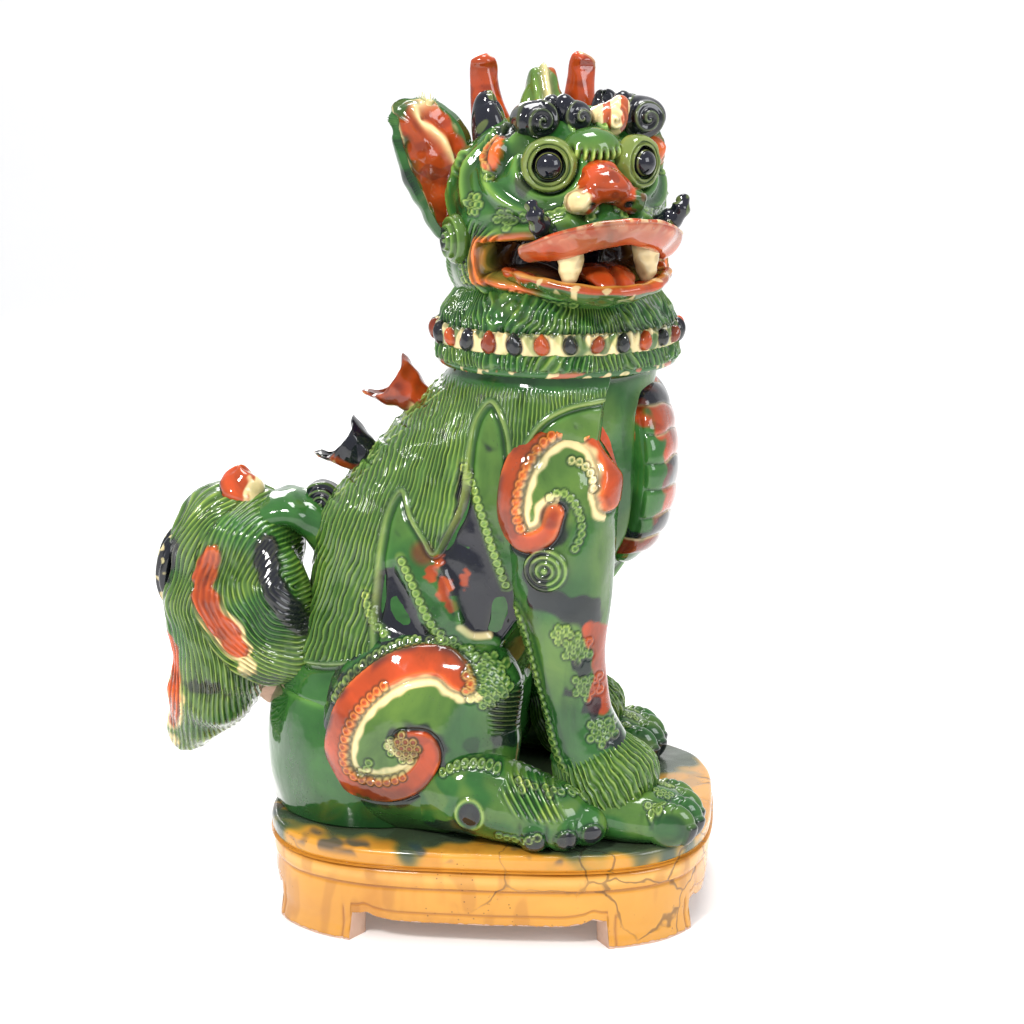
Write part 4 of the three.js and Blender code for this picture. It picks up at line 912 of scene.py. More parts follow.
# ---- paws
for word, side in sides.items():
    step = 0 if side < 0 else -26
    heel = 60 + step
    asides = np.array([-20, -7, 7, 20])
    parts = [((heel + 16, -72, 15), (30, 25, 18)), ((heel + 38, -72, 13), (28, 28, 18))]
    toes = [((heel + 55 + 4 - abs(a) / 3, -72 - 1.05 * a, 13), (16, 8.2, 14)) for a in asides]
    field = lambda p: np.maximum(np.minimum(blendOf([lump(p, *part) for part in parts], 8),
                                            blendOf([lump(p, *toe) for toe in toes] + [lump(p, (heel + 40, -72, 10), (20, 26, 12))], 1.6)), 0.4 - p[..., 2])
    paw = Clay(mirror(cast(field, (heel + 34, -72, 12), 210, 320, 60, (1.3, 1, 0.7)), side))
    u, v = paw.x, paw.z
    paw.paint("leaf", 0.7 * ramp(wobble(paw.p, 22, 91), -0.5, 0.6))
    for (tx, ty, tz), _ in toes:
        near = np.hypot(u - tx - 13, side * paw.y + ty)
        nail = ramp(6.0 - near, -0.8, 0.8) * ramp(v, 1, 3) * ramp(-v, -15, -12)
        paw.height += 1.6 * nail
        paw.paint("black", 1.0 * nail * (np.abs(ty + 72) > 5 if side < 0 else 1))
        # painted shade: dark lines in the creases between the toes
        gap = np.exp(-(((side * paw.y + ty - 6.9) / 1.1) ** 2)) * ramp(u, heel + 42, heel + 52)
        paw.paint("deep", 0.8 * gap)
        rings = spline([[tx + 2, -ty - 5], [tx + 5, -ty], [tx + 2, -ty + 5]], 20)
        paw.height -= 0.7 * np.exp(-((nearCurve(u, side * paw.y, rings, 8)[0] / 0.9) ** 2)) * ramp(v, 8, 12)
        paw.circles(u, side * paw.y, cluster(tx - 8, -ty, 1.0, 5, 4.4), ramp(v, 10, 14), 1.6)
    # painted shade: the paw darkens towards the bottom, where it meets the deck
    paw.paint("deep", 0.7 * ramp(-v, -7, -1))
    paw.pooled(3, 1.4)
    build(paw, "forepaw" + word.capitalize(), "figure", ["forepaw_" + word], figureGlaze)

    parts = [((-30, -78, 26), (26, 20, 24)), ((-8, -84, 29), (30, 27, 27)), ((16, -88, 23), (28, 27, 24)), ((40, -90, 17), (28, 25, 21))]
    toes = [((33, -106, 11), (13, 11, 12)), ((49, -104, 12), (14, 11, 13)), ((62, -97, 13), (14, 11, 13)), ((67, -84, 13), (13, 10, 12))]
    nails = [((34, -116, 8), 6.2), ((53, -113, 9), 6.2), ((67, -106, 11), 6.0), ((78, -92, 10), 5.2)]
    field = lambda p: np.maximum(np.minimum(blendOf([lump(p, *part) for part in parts], 9),
                                            blendOf([lump(p, *toe) for toe in toes] + [lump(p, (44, -90, 12), (22, 22, 14))], 2.2)), 0.4 - p[..., 2])
    foot = Clay(mirror(cast(field, (18, -86, 14), 240, 380, 90, (2.0, 1, 0.7)), side))
    u, v = foot.x, foot.z
    out = ramp(side * foot.n[..., 1], -0.1, 0.3)
    foot.paint("leaf", 0.75 * ramp(wobble(foot.p, 24, 92), -0.5, 0.6))
    for (nx, ny, nz), reach in nails:
        near = np.sqrt((u - nx) ** 2 + (side * foot.y + ny) ** 2 + (1.1 * (v - nz)) ** 2)
        nail = ramp(reach - near, -0.7, 0.9)
        foot.height += 2.2 * np.sqrt(np.clip(1 - (near / (reach + 1)) ** 2, 0, 1))
        foot.paint("deep", 0.85 * np.exp(-(((near - reach - 1.2) / 1.1) ** 2)))
        foot.paint("black", nail)
    for (tx, ty, tz), _ in toes:
        foot.circles(u, side * foot.y, cluster(tx - 5, -ty - 3, 1.0, 4, 4.6), ramp(v, 14, 18), 1.8)
        foot.height -= 0.9 * np.exp(-(((u - tx + 8) / 1.3) ** 2)) * ramp(-side * -foot.y, 100, 106) * ramp(-v, -22, -16)
    eyeRing = np.hypot((u + 5) * 1.0, (v - 22) * 0.85)
    foot.height += out * (1.2 * np.exp(-(((eyeRing - 8) / 1.3) ** 2)) + 1.0 * np.exp(-((eyeRing / 3.5) ** 2)))
    foot.paint("black", 0.97 * ramp(6.6 - eyeRing, -0.8, 0.8) * out)
    foot.paint("pale", 0.6 * np.exp(-(((eyeRing - 8.4) / 0.8) ** 2)) * out)
    foot.paint("black", 0.8 * ramp(9 - np.hypot((u + 18) * 0.6, v - 8) + 2 * wobble(foot.p, 10, 93), -1, 2) * out)
    comb = softInside(u, v, np.array([[20, 46], [44, 38], [50, 22], [36, 20], [22, 24], [14, 36]], float), 3)
    foot.combed(u * 0.8 + v * 0.5, 3.3, comb * ramp(foot.n[..., 2], -0.2, 0.3), 0.6)
    foot.circles(u, v, spaced(spline([[-24, 44], [-12, 50], [2, 50], [14, 46]], 30), 4.8), out, 1.8)
    foot.circles(u, v, spaced(spline([[10, 10], [22, 8], [36, 12]], 30), 4.8), out, 1.8)
    # painted shade: the foot darkens towards the bottom, where it meets the deck
    foot.paint("deep", 0.75 * ramp(-v, -7, -1))
    foot.pooled(3, 1.4)
    build(foot, "hindFoot" + word.capitalize(), "figure", ["hind_foot_" + word], figureGlaze)
print("paws done")

# ---- tail
rootStations = [[-96, 0, 156, 16, 24], [-104, 0, 166, 15, 24], [-112, 0, 175, 14, 24], [-128, 0, 181, 13, 26], [-144, 0, 177, 12, 26], [-152, 0, 172, 10, 22]]
root = Clay(clearOfHollow(loft(rootStations, (0, 1, 0), 150, 200)))
root.height += 0.5 * wobble(root.p, 20, 101)
root.paint("leaf", 0.4 * ramp(wobble(root.p, 26, 102), -0.3, 0.7))
root.pooled()
build(root, "tailRoot", "figure", ["tail_root"], figureGlaze)

plumeParts = [((-163, 0, 158), (43, 40, 39)), ((-167, -4, 122), (43, 43, 44)), ((-166, -6, 92), (39, 42, 34)), ((-180, -5, 66), (29, 33, 30)),
              ((-193, -2, 46), (16, 18, 22)), ((-202, 0, 32), (9, 9, 12)), ((-128, -30, 98), (30, 20, 24)), ((-134, -28, 128), (22, 22, 34))]
swapped = lambda p: blendOf([lump(p[..., [0, 2, 1]], *part) for part in plumeParts], 9)
plume = Clay(cast(swapped, (-165, 108, -8), 330, 290, 110, (1, 1, 1))[..., [0, 2, 1]])
u, v = plume.x, plume.z
near = ramp(-plume.n[..., 1], -0.25, 0.2)
flapLine = spline([[-128, 196], [-150, 190], [-169, 168], [-178, 146], [-174, 124], [-163, 107], [-146, 92], [-120, 84], [-96, 88]], 120)
edgeLine = spline([[-160, 200], [-183, 188], [-200, 160], [-210, 129], [-208, 106], [-205, 86], [-206, 59], [-211, 24]], 120)
flap = softInside(u, v, np.array([[-124, 200], [-150, 196], [-168, 180], [-182, 160], [-185, 142], [-181, 120], [-170, 100], [-158, 86],
                                  [-140, 76], [-122, 77], [-92, 88], [-92, 200]], float), 1.6)
flow = mix(nearCurve(u, v, edgeLine, 90)[0], nearCurve(u, v, flapLine, 90)[0] * np.where(nearCurve(u, v, flapLine, 90)[2] > 0, 1, -1), flap > 0.5)
backFlow = np.arctan2(plume.y + 6, u + 165) * 38 + 6 * np.sin(v / 18)
flow = np.where(near > 0.5, flow, backFlow)
strokesOn = (0.72 + 0.28 * wobble(plume.p, 9, 106)) * ramp(np.abs(near - 0.5), 0.06, 0.2)
plume.height += 2.4 * (flap - 0.5) * near * ramp(-np.abs(v - 84), -22, -10)
flapEdge = np.exp(-(((flap - 0.5) / 0.3) ** 2)) * near * ramp(-v, -130, -100)
plume.combed(flow + 1.3 * wobble(plume.p, 30, 103), 3.1, strokesOn, 0.5)
plume.height += 1.3 * wobble(plume.p, 30, 107) + 1.2 * flapEdge
plume.paint("leaf", 0.8 * ramp(wobble(plume.p, 60, 104), -0.9, 0.4))
tailBands = [("orange", [[-168, 164], [-176, 146], [-173, 128], [-162, 112], [-150, 96]], 7.5),
             ("black", [[-140, 170], [-136, 152], [-126, 132], [-112, 112]], 7.5),
             ("black", [[-207, 136], [-205, 150], [-196, 164]], 6),
             ("orange", [[-204, 104], [-201, 84], [-201, 60], [-206, 38]], 4.6)]
for color, curve, half in tailBands:
    d, along, _ = nearCurve(u, v, spline(curve, 60), half + 8)
    width = half * np.sqrt(np.clip(1 - (2 * along - 1) ** 6, 0.02, 1)) + 1.0 * wobble(plume.p, 13, 105)
    band = ramp(width - d, -0.9, 0.9)
    plume.height += 1.9 * ramp(width - d, -1, 2.2) * (half > 7)
    plume.comb *= 1 - band * (half > 7)
    plume.paint("cream", 0.9 * ramp(width + 2.2 - d, -0.9, 0.9) * (color == "orange") * ramp(along, 0.3, 0.9))
    plume.paint(color, band)
    plume.paint("rust", 0.6 * band * (color == "orange") * ramp(wobble(plume.p, 14, 108), 0.2, 0.6))
plume.paint("cream", 0.9 * ramp(6 - np.hypot(u + 149, v - 91) + wobble(plume.p, 9, 109), -1, 1) * near)
plume.paint("cream", 0.85 * ramp(5 - np.hypot(u + 208, v - 28), -2, 2))
plume.paint("black", 0.85 * ramp(7 - np.hypot((u + 178) * 0.5, v - 74) + 2 * wobble(plume.p, 9, 110), -1, 2) * near)
# painted shade: a deep green patch under the lower edge of the raised flap
plume.paint("deep", 0.7 * ramp(9 - np.hypot((u + 146) * 0.6, v - 80) + 2 * wobble(plume.p, 9, 112), -1, 3) * near)
plume.pooled(4, 1.0)
plume.paint("pale", 0.6 * flapEdge)
build(plume, "tailPlume", "figure", ["tail_plume"], figureGlaze)

# a bare clay prop joins the plume's underside to the rump
prop = Clay(loft([[-150, -10, 74, 10, 12], [-142, -10, 70, 11, 13], [-132, -8, 66, 12, 14], [-124, -6, 64, 11, 12]], (0, 1, 0), 60, 80), color="clay")
prop.height += 0.7 * wobble(prop.p, 14, 111)
prop.bare += 0.7
build(prop, "tailProp", "figure", ["tail_prop"], biscuitClay)


def snail(clay, u, v, cu, cv, pitch, reach, lift, handed=1):
    # a coiled ridge round a middle, as pressed into small knobs
    r = np.hypot(u - cu, v - cv)
    turnOf = np.arctan2(v - cv, u - cu)
    wave = np.cos(2 * np.pi * r / pitch - handed * turnOf)
    mask = ramp(reach - r, -0.5, 1.5)
    clay.height += lift * wave * mask
    clay.paint("pale", 0.16 * mask * ramp(wave, 0.5, 1))


knob = Clay(loft([[-160, -6, 182, 10, 10], [-160, -6, 188, 15, 14], [-161, -6, 195, 15, 14], [-164, -6, 202, 10, 10], [-166, -6, 205, 5, 5]], (0, 1, 0), 110, 130), color="orange")
knobTurn = np.arctan2(knob.y + 6, knob.x + 160)
knob.height += 1.1 * np.cos(knobTurn * 3 + knob.z * 0.35)
knob.paint("cream", 0.95 * ramp(knob.x + 152 + 2 * wobble(knob.p, 9, 113), -1, 1))
knob.paint("black", 0.95 * ramp(-knob.x - 170 + 2 * wobble(knob.p, 9, 114), -1, 1))
knob.pooled()
build(knob, "tailKnob", "figure", ["tail_knob"], figureGlaze)

curl = Clay(loft([[-194, -4, 170, 5, 8], [-202, -4, 158, 7, 13], [-207, -4, 142, 7, 14], [-207, -4, 128, 6, 12], [-203, -4, 116, 3, 7]], (0, 1, 0), 110, 130), color="black")
curl.height += 0.8 * np.sin(2 * np.pi * curl.y / 6 + curl.z * 0.1)
curl.paint("cream", 0.8 * ramp(np.abs(wobble(curl.p, 14, 121)), 0.75, 0.9))
curl.pooled()
build(curl, "tailEdgeCurl", "figure", ["tail_edge_curl"], figureGlaze)

# ---- tufts down the back: small cupped leaves with two corners turned up
tufts = {
    "Upper": ((-47, 248), "orange", "cream", "rust"),
    "Lower": ((-78, 209), "black", "cream", "orange"),
}
for word, ((bx, bz), main, second, third) in tufts.items():
    stations = [[bx + 18, 0, bz - 15, 7, 9], [bx + 8, 0, bz - 6, 8, 10], [bx, 0, bz + 2, 10, 12], [bx - 8, 0, bz + 9, 13, 14], [bx - 15, 0, bz + 14, 16, 15], [bx - 19, 0, bz + 17, 17, 15]]
    tube = loft(stations, (0, 1, 0), 110, 170, (0.15, 0))
    path = tube.mean(1, keepdims=True)
    along = unit(path[-1:] - path[-14:-13])
    share = np.linspace(0, 1, 110)[:, None, None]
    a = np.linspace(0, 2 * np.pi, 170, endpoint=False)[None, :, None]
    corner = np.abs(np.sin(a)) ** 5 * (1 + 0.35 * np.sign(np.sin(a)))
    tube = tube + along * (8.5 * corner - 3.5) * ramp(share, 0.6, 1.0)
    inner = (path + 0.80 * (tube - path))[:28:-3]
    inner = inner - along * 1.0
    tuft = Clay(clearOfHollow(np.concatenate([tube, inner])), color=main)
    outer = (np.arange(len(tuft.p)) < 110)[:, None]
    tuft.height += 0.6 * wobble(tuft.p, 14, 133)
    lowSide = -0.7 * tuft.n[..., 2] + 0.3 * tuft.n[..., 0] + 0.25 * wobble(tuft.p, 15, 131)
    tuft.paint(third, 0.9 * ramp(lowSide, 0.15, 0.35) * outer)
    tuft.paint(second, 0.95 * ramp(lowSide, 0.32, 0.45) * outer * ramp(wobble(tuft.p, 22, 134), -0.6, 0))
    tuft.paint("rust" if word == "Upper" else "black", 0.85 * ramp(bx + 8 - tuft.x, -6, -14) * outer)
    tuft.paint("rust", 0.7 * (1 - outer) * (word == "Upper"))
    tuft.pooled()
    build(tuft, "backTuft" + word, "figure", ["back_tuft_" + word.lower()], figureGlaze)
spurStations = [[-103, -2, 180, 12, 13], [-107, -2, 188, 12, 12], [-110, -2, 194, 9, 9], [-112, -2, 199, 4, 5]]
spur = Clay(clearOfHollow(loft(spurStations, (0, 1, 0), 90, 130)), color="black")
spurRings = np.hypot(spur.x + 108, spur.z - 186)
spur.height += 0.7 * np.sin(2 * np.pi * spurRings / 3.8)
spur.paint("leaf", 0.7 * ramp(np.sin(2 * np.pi * spurRings / 3.8), 0.3, 1))
build(spur, "backTuftSmall", "figure", ["back_tuft_small"], figureGlaze)
print("tail and tufts done")


# ---- turned parts about the neck
def revolve(profile, cols, middle=(0, 0), steps=None, turns=None):
    # profile rows of radius and height carried round an upright axis
    profile = np.asarray(profile, float)
    if steps:
        profile = spline(profile, steps)
    a = np.linspace(0, 2 * np.pi, cols, endpoint=False)[None]
    r, z = profile[:, 0][:, None], profile[:, 1][:, None]
    return np.stack([middle[0] + r * np.cos(a), middle[1] + r * np.sin(a), z + 0 * a], -1)


spigot = Clay(revolve([[43.6, 262], [43.5, 275], [43.6, 288], [44.4, 291.2], [47.5, 292], [50.6, 291.2], [51.4, 288], [51.5, 275], [51.3, 262], [50.4, 258.8], [47.5, 258], [44.5, 258.8]],
                      260, (neckX, 0), 130), color="clay")
spigot.height += 0.25 * np.sin(2 * np.pi * spigot.z / 5.5) + 0.25 * wobble(spigot.p, 16, 141)
spigot.bare += 0.9
build(spigot, "neckSpigot", "spigot", ["neck_spigot"], biscuitClay, loop=True)

ruffProfile = [[63.6, 284], [63.8, 279.6], [65.2, 277.7], [68.5, 277.3], [72.0, 277.7], [73.4, 279.4], [73.6, 281.4], [74.6, 283.2], [74.2, 287], [73.0, 291.5], [72.0, 297], [71.4, 303],
               [70.0, 308], [67.0, 314], [63.5, 319.5], [59.5, 324.5], [56, 326.6], [52, 325], [46.0, 316], [45.8, 306], [45.8, 295.5], [46.6, 293.4], [52, 292.9], [60, 292.8], [62.8, 291.6], [63.4, 288.5]]
ruff = Clay(revolve(ruffProfile, 760, (0, 0), 125))
ruffTurn = np.arctan2(ruff.y, ruff.x)
radius = np.hypot(ruff.x, ruff.y)
outerSkin = ramp(radius, 62, 66) * (ruff.z > 276)
lowerFringe = outerSkin * ramp(ruff.z, 280.5, 282.5) * ramp(-ruff.z, -293, -290)
upperFringe = ramp(radius, 50, 56) * ramp(ruff.z, 299, 302)
lean = 0.055 * np.sin(ruffTurn * 5) + 0.03 * np.sin(ruffTurn * 11 + 1)
strands = (ruffTurn + lean + 0.006 * (ruff.z - 290) * np.sin(ruffTurn * 4 + 0.5)) * 72
strandPitch = 2 * np.pi * 72 / 118
fringes = np.maximum(lowerFringe, upperFringe)
ruff.combed(strands + 1.1 * wobble(ruff.p, 16, 154), strandPitch, fringes * (0.75 + 0.25 * wobble(ruff.p, 5, 155)), 0.6)
locks = np.sin(ruffTurn * 24 + 1.3 * np.sin(ruffTurn * 5))
ruff.height += (1.5 * locks + 0.8 * wobble(ruff.p, 11, 156)) * (upperFringe * ramp(-ruff.z, -322, -303) + 0.6 * lowerFringe)
ruff.paint("leaf", 0.5 * fringes * ramp(wobble(ruff.p, 26, 157), -0.5, 0.5))
ruff.paint("deep", 0.75 * upperFringe * ramp(-ruff.z, -309, -302))
rimBand = outerSkin * ramp(-ruff.z, -282, -280)
chips = ramp(wobble(ruff.p, 13, 151) + 0.4 * wobble(ruff.p, 5, 152), 0.35, 0.6)
ruff.paint("pink", 0.85 * rimBand * chips)
ruff.paint("cream", 0.85 * rimBand * ramp(wobble(ruff.p, 9, 153), 0.5, 0.7))
ruff.paint("clay", (1 - outerSkin) * ramp(-radius, -66, -62) * ramp(-ruff.z, -300, -292))
ruff.bare = 0.75 * (1 - outerSkin) * ramp(-ruff.z, -300, -292) + 0.40 * rimBand * np.exp(-((ruff.z - 277.8) / 0.9) ** 2)
ruff.pooled(3, 1.0)
ruff.p = ruff.p - [0, 0, headMiddle]
build(ruff, "collarRuff", "head", ["collar_ruff"], figureGlaze, onHead=True, loop=True)

strapProfile = [[70.6, 291.6], [72.4, 290.6], [73.5, 291.2], [74.0, 293.0], [74.2, 297.0], [74.0, 301.0], [73.3, 303.0], [72.2, 303.4], [70.6, 302.4], [70.2, 297]]
strapBand = Clay(revolve(strapProfile, 1000, (0, 0), 70), color="cream")
strapTurn = np.arctan2(strapBand.y, strapBand.x)
dropCount = 28
firstDrop = math.radians(-118.7) - headTurn
place = (strapTurn - firstDrop) * dropCount / (2 * np.pi)
number = np.round(place).astype(int) % dropCount
offset = (place - np.round(place)) * 2 * np.pi / dropCount * 74
facing = ramp(np.hypot(strapBand.x, strapBand.y), 71.6, 72.6)
sizes = 0.85 + 0.3 * np.random.default_rng(5).random(dropCount)[number]
tilt = (np.random.default_rng(6).random(dropCount)[number] - 0.5) * 0.5
du = offset - tilt * (strapBand.z - 297)
reachOf = np.hypot(du / (4.4 * sizes), (strapBand.z - 297.2) / (5.7 * sizes) + 0.12 * (du / 4.4) ** 2)
drop = np.sqrt(np.clip(1 - reachOf**2, 0, 1))
strapBand.height += 4.0 * drop * facing - 0.4 * np.exp(-(((reachOf - 1.15) / 0.12) ** 2)) * facing
strapBand.height += 0.8 * np.cos(offset * 1.1) * facing * ramp(strapBand.z, 294, 303)
strapBand.paint("pale", 0.6 * ramp(wobble(strapBand.p, 22, 161), 0.1, 0.6))
strapBand.paint("green", 0.85 * ramp(wobble(strapBand.p, 17, 162), 0.42, 0.62))
strapBand.paint("deep", 0.8 * facing * ramp(strapBand.z + 1.6 * wobble(strapBand.p, 8, 163), 301, 303.5))
for k, name in enumerate(("rust", "black", "orange", "black")):
    strapBand.paint(name, ramp(1.10 - reachOf, -0.06, 0.06) * (number % 4 == k) * facing)
strapBand.pooled(3, 1.0)
strapBand.p = strapBand.p - [0, 0, headMiddle]
build(strapBand, "collarDrops", "head", ["collar_bead_strap"], figureGlaze, onHead=True, loop=True)
print("collar done")

# ---- head
headField = lambda p: blendOf([lump(p, (-2, 0, 4), (64, 67, 58)), lump(p, (-4, 0, -30), (62, 66, 38)), lump(p, (34, 0, -12), (48, 47, 31)),
                               lump(p, (34, 0, 24), (25, 42, 26)), lump(p, (40, 0, -40), (33, 35, 17))], 10)
head = Clay(cast(headField, (4, 0, -8), 310, 310, 110, (1, 1, 1)))
x, y, z = head.x, head.y, head.z
s = np.arctan2(y, x + 6) * 60
t = np.abs(s)
front = ramp(head.n[..., 0], -0.15, 0.35)
head.height += 0.7 * wobble(head.p, 34, 171)
head.paint("leaf", 0.45 * ramp(wobble(head.p, 40, 172), -0.3, 0.8))


def crease(clay, u, v, curve, width, rise, tint=None, mask=1.0, reach=12):
    # a soft ridge along a plane curve with a groove each side of it
    d = nearCurve(u, v, spline(curve, 60), reach)[0]
    clay.height += mask * rise * (np.exp(-((d / width) ** 2)) - 0.35 * np.exp(-(((d - 1.9 * width) / width) ** 2)))
    if tint:
        clay.paint(tint, 0.7 * mask * np.exp(-((d / (0.55 * width)) ** 2)))
    return d


# mouth: a deep hollow between the lips, with a rounded rim at each corner; its inside is painted black as the shade of
# the opening
mouthTop = -9 - 5 * (t / 56) ** 1.6
mouthLow = -42 + 8 * (t / 60) ** 1.3
gapIn = np.minimum(mouthTop - z, z - mouthLow)
gapIn = np.minimum(gapIn, (64 - t) * 0.7)
mouth = ramp(gapIn, -1.5, 3.0) * (x > 0)
rimIn = np.exp(-(((gapIn + 3.0) / 2.6) ** 2)) * ramp(x, 5, 25)
head.height += 2.4 * rimIn - 26 * mouth
# eye mounds, brows and folds
for curve, width, rise, tint in (
        ([[6, 40], [16, 52], [32, 56], [48, 48], [58, 34]], 4.0, 4.0, None),
        ([[16, 8], [30, 4], [46, 8], [60, 18], [70, 34]], 3.2, 2.6, "leaf"),
        ([[18, 2], [34, -4], [52, -6], [66, -14], [72, -28], [66, -42]], 3.2, 2.8, "leaf"),
        ([[78, 10], [84, 24], [80, 40], [68, 50]], 3.2, 2.4, "leaf"),
        ([[90, -6], [98, 12], [96, 34]], 3.2, 2.2, "leaf")):
    crease(head, t, z, curve, width, rise, tint)
for word, side in sides.items():
    aim = side * math.radians(24)
    ahead = np.array([math.cos(aim), math.sin(aim), 0])
    fromEye = head.p - [55, side * 29, 32]
    depth = fromEye @ ahead
    aside = np.linalg.norm(fromEye - depth[..., None] * ahead, axis=-1)
    lid = np.exp(-(((aside - 20) / 4.5) ** 2)) * (depth > -12)
    seat = ramp(17.2 - aside, -1.2, 1.2) * (depth > -14)
    head.height = mix(head.height + 2.6 * lid, np.minimum(head.height, -depth - 1.5), seat)
    # painted shade: a deep green ring in the narrow gap round each eye cup
    head.paint("deep", 0.8 * np.exp(-(((aside - 16.8) / 1.5) ** 2)) * (depth > -12))
head.height += 2.5 * np.exp(-(((t - 2) / 9) ** 2)) * ramp(z, 4, 12) * ramp(-z, -34, -24) * front
head.combed(s * 1.0, 3.0, np.exp(-((s / 9) ** 4)) * ramp(z, 14, 18) * ramp(-z, -30, -25) * front, 0.4)
whisk = softInside(t, z, np.array([[52, -8], [72, -2], [84, -16], [82, -40], [66, -46], [60, -28]], float), 4)
head.combed(np.hypot(t - 44, z + 24), 3.4, whisk, 0.5)
head.combed(s + 0.5 * z, 3.6, ramp(-head.n[..., 0], 0.0, 0.3) * ramp(-z, -30, -10), 0.5)
head.circles(t, z, spaced(spline([[10, 48], [20, 62], [36, 64], [54, 54], [64, 38]], 50), 4.8), front, 1.9)
head.circles(t, z, spaced(spline([[12, 12], [24, 4], [40, 2]], 30), 4.6), front, 1.8)
head.circles(t, z, cluster(50, 0, 1.2, 6, 4.6), front, 1.8)
head.circles(t, z, cluster(70, 8, 0.9, 7, 4.8), 1.0, 1.9)
head.circles(t, z, cluster(80, -34, 0.9, 6, 4.8), 1.0, 1.9)
# a round knob at each temple
temple = ramp(9.5 - np.hypot(t - 62, (z - 36) * 0.85), -0.5, 5.0)
head.height += 7.0 * temple
head.paint("orange", ramp(temple, 0.25, 0.45))
head.paint("rust", 0.6 * ramp(temple, 0.25, 0.45) * ramp(wobble(head.p, 12, 174), 0.1, 0.6))
head.circles(t, z, spaced(spline([[60, 22], [66, 34], [62, 46]], 30), 4.8), 1.0, 1.9)
head.circles(t, z, cluster(6, 8, 0.8, 4, 4.4), front, 1.7)
head.circles(t, z, spaced(spline([[12, -48], [30, -47], [48, -42]], 40), 4.8), front, 1.8)
for cs, cz, handed in ((8, 58, 1), (-14, 62, -1), (-44, 60, 1), (40, 60, -1), (-70, 46, 1), (72, 46, -1), (-92, 30, 1), (94, 30, 1), (-86, -14, 1), (86, -14, -1)):
    r = np.hypot(s - cs, z - cz)
    head.height += 3.0 * np.exp(-((r / 7) ** 2))
    snail(head, s, z, cs, cz, 4.4, 8.5, 0.6, handed)
head.paint("black", 0.9 * ramp(7 - np.hypot(s + 86, (z + 14)), -1.5, 1.5))
for cs, cz, r, name in ((-62, 52, 9, "black"), (52, 56, 8, "black"), (-24, 60, 7, "black"), (-84, 4, 6, "deep"), (20, -50, 9, "deep"), (-38, 20, 5, "black"), (36, -2, 5, "deep")):
    head.paint(name, 0.85 * ramp(r - np.hypot(s - cs, z - cz) + 2.2 * wobble(head.p, 11, 173), -1, 1.5))
head.paint("orange", 0.95 * rimIn * ramp(t, 26, 40) * ramp(rimIn, 0.15, 0.5))
head.paint("rust", 0.8 * ramp(gapIn, -1, 1.5) * (x > 0))
head.pooled(4, 1.3)
# painted shade: the inside of the mouth is painted black
head.paint("black", 0.97 * ramp(gapIn, 1.5, 4.5) * (x > 0))
build(head, "headShell", "head", ["head_shell"], figureGlaze, onHead=True)


def lipStations(reachX, startX, span, low, drop, thick, wide, sweep, count=17):
    # half ring round the muzzle, from the right corner of the mouth to the left one
    rows = []
    for k in range(count):
        a = math.radians(mix(sweep[0], sweep[1], k / (count - 1)))
        ends = 1 - 0.5 * abs(math.sin(a)) ** 4
        rows.append([startX + reachX * math.cos(a), span * math.sin(a), low + drop * abs(math.sin(a)) ** 2, thick * ends, wide * (0.6 + 0.4 * ends)])
    return rows


# lips: the upper one a flap turned up at its rim so that its underside faces forward, the lower a shallower tray
upper = Clay(loft(lipStations(55, 38, 45, -6.0, -15.0, 14, 6.0, (-74, 92)), (0, 0, 1), 330, 170, (0.05, 0.05)), color="orange")
ux, uy = upper.x, upper.y
fromRoot = np.hypot((ux - 38) / 55, uy / 45)
topSide = ramp(upper.n[..., 2], 0.15, 0.5)
upper.p = upper.p + np.array([0, 0, 1]) * (9.5 * ramp(fromRoot, 0.98, 1.34) * (0.6 + 0.4 * np.cos(np.arctan2(uy, ux - 38) * 1.4)))[..., None]
upper.height += 0.8 * wobble(upper.p, 26, 181) + 1.2 * np.exp(-(((fromRoot - 1.24) / 0.05) ** 2)) * topSide
upper.paint((0.40, 0.115, 0.055), 0.75 * (1 - topSide) * ramp(wobble(upper.p, 30, 182) + 0.6, 0, 0.6))
upper.paint((0.080, 0.115, 0.055), 0.95 * topSide * ramp(1.19 - fromRoot + 0.03 * wobble(upper.p, 14, 183), -0.01, 0.05))
upper.paint("cream", 0.85 * np.exp(-(((fromRoot - 1.23) / 0.035) ** 2)) * topSide * ramp(wobble(upper.p, 12, 185), -0.1, 0.3))
upper.paint((0.50, 0.22, 0.12), 0.6 * np.exp(-(((fromRoot - 1.25) / 0.03) ** 2)) * ramp(wobble(upper.p, 9, 184), -0.2, 0.3))
upper.paint("rust", 0.7 * (1 - topSide) * ramp(-fromRoot, -1.05, -0.95))
upper.bare = 0.40 * np.exp(-(((fromRoot - 1.25) / 0.03) ** 2))
upper.pooled()
build(upper, "upperLip", "head", ["upper_lip"], figureGlaze, onHead=True)

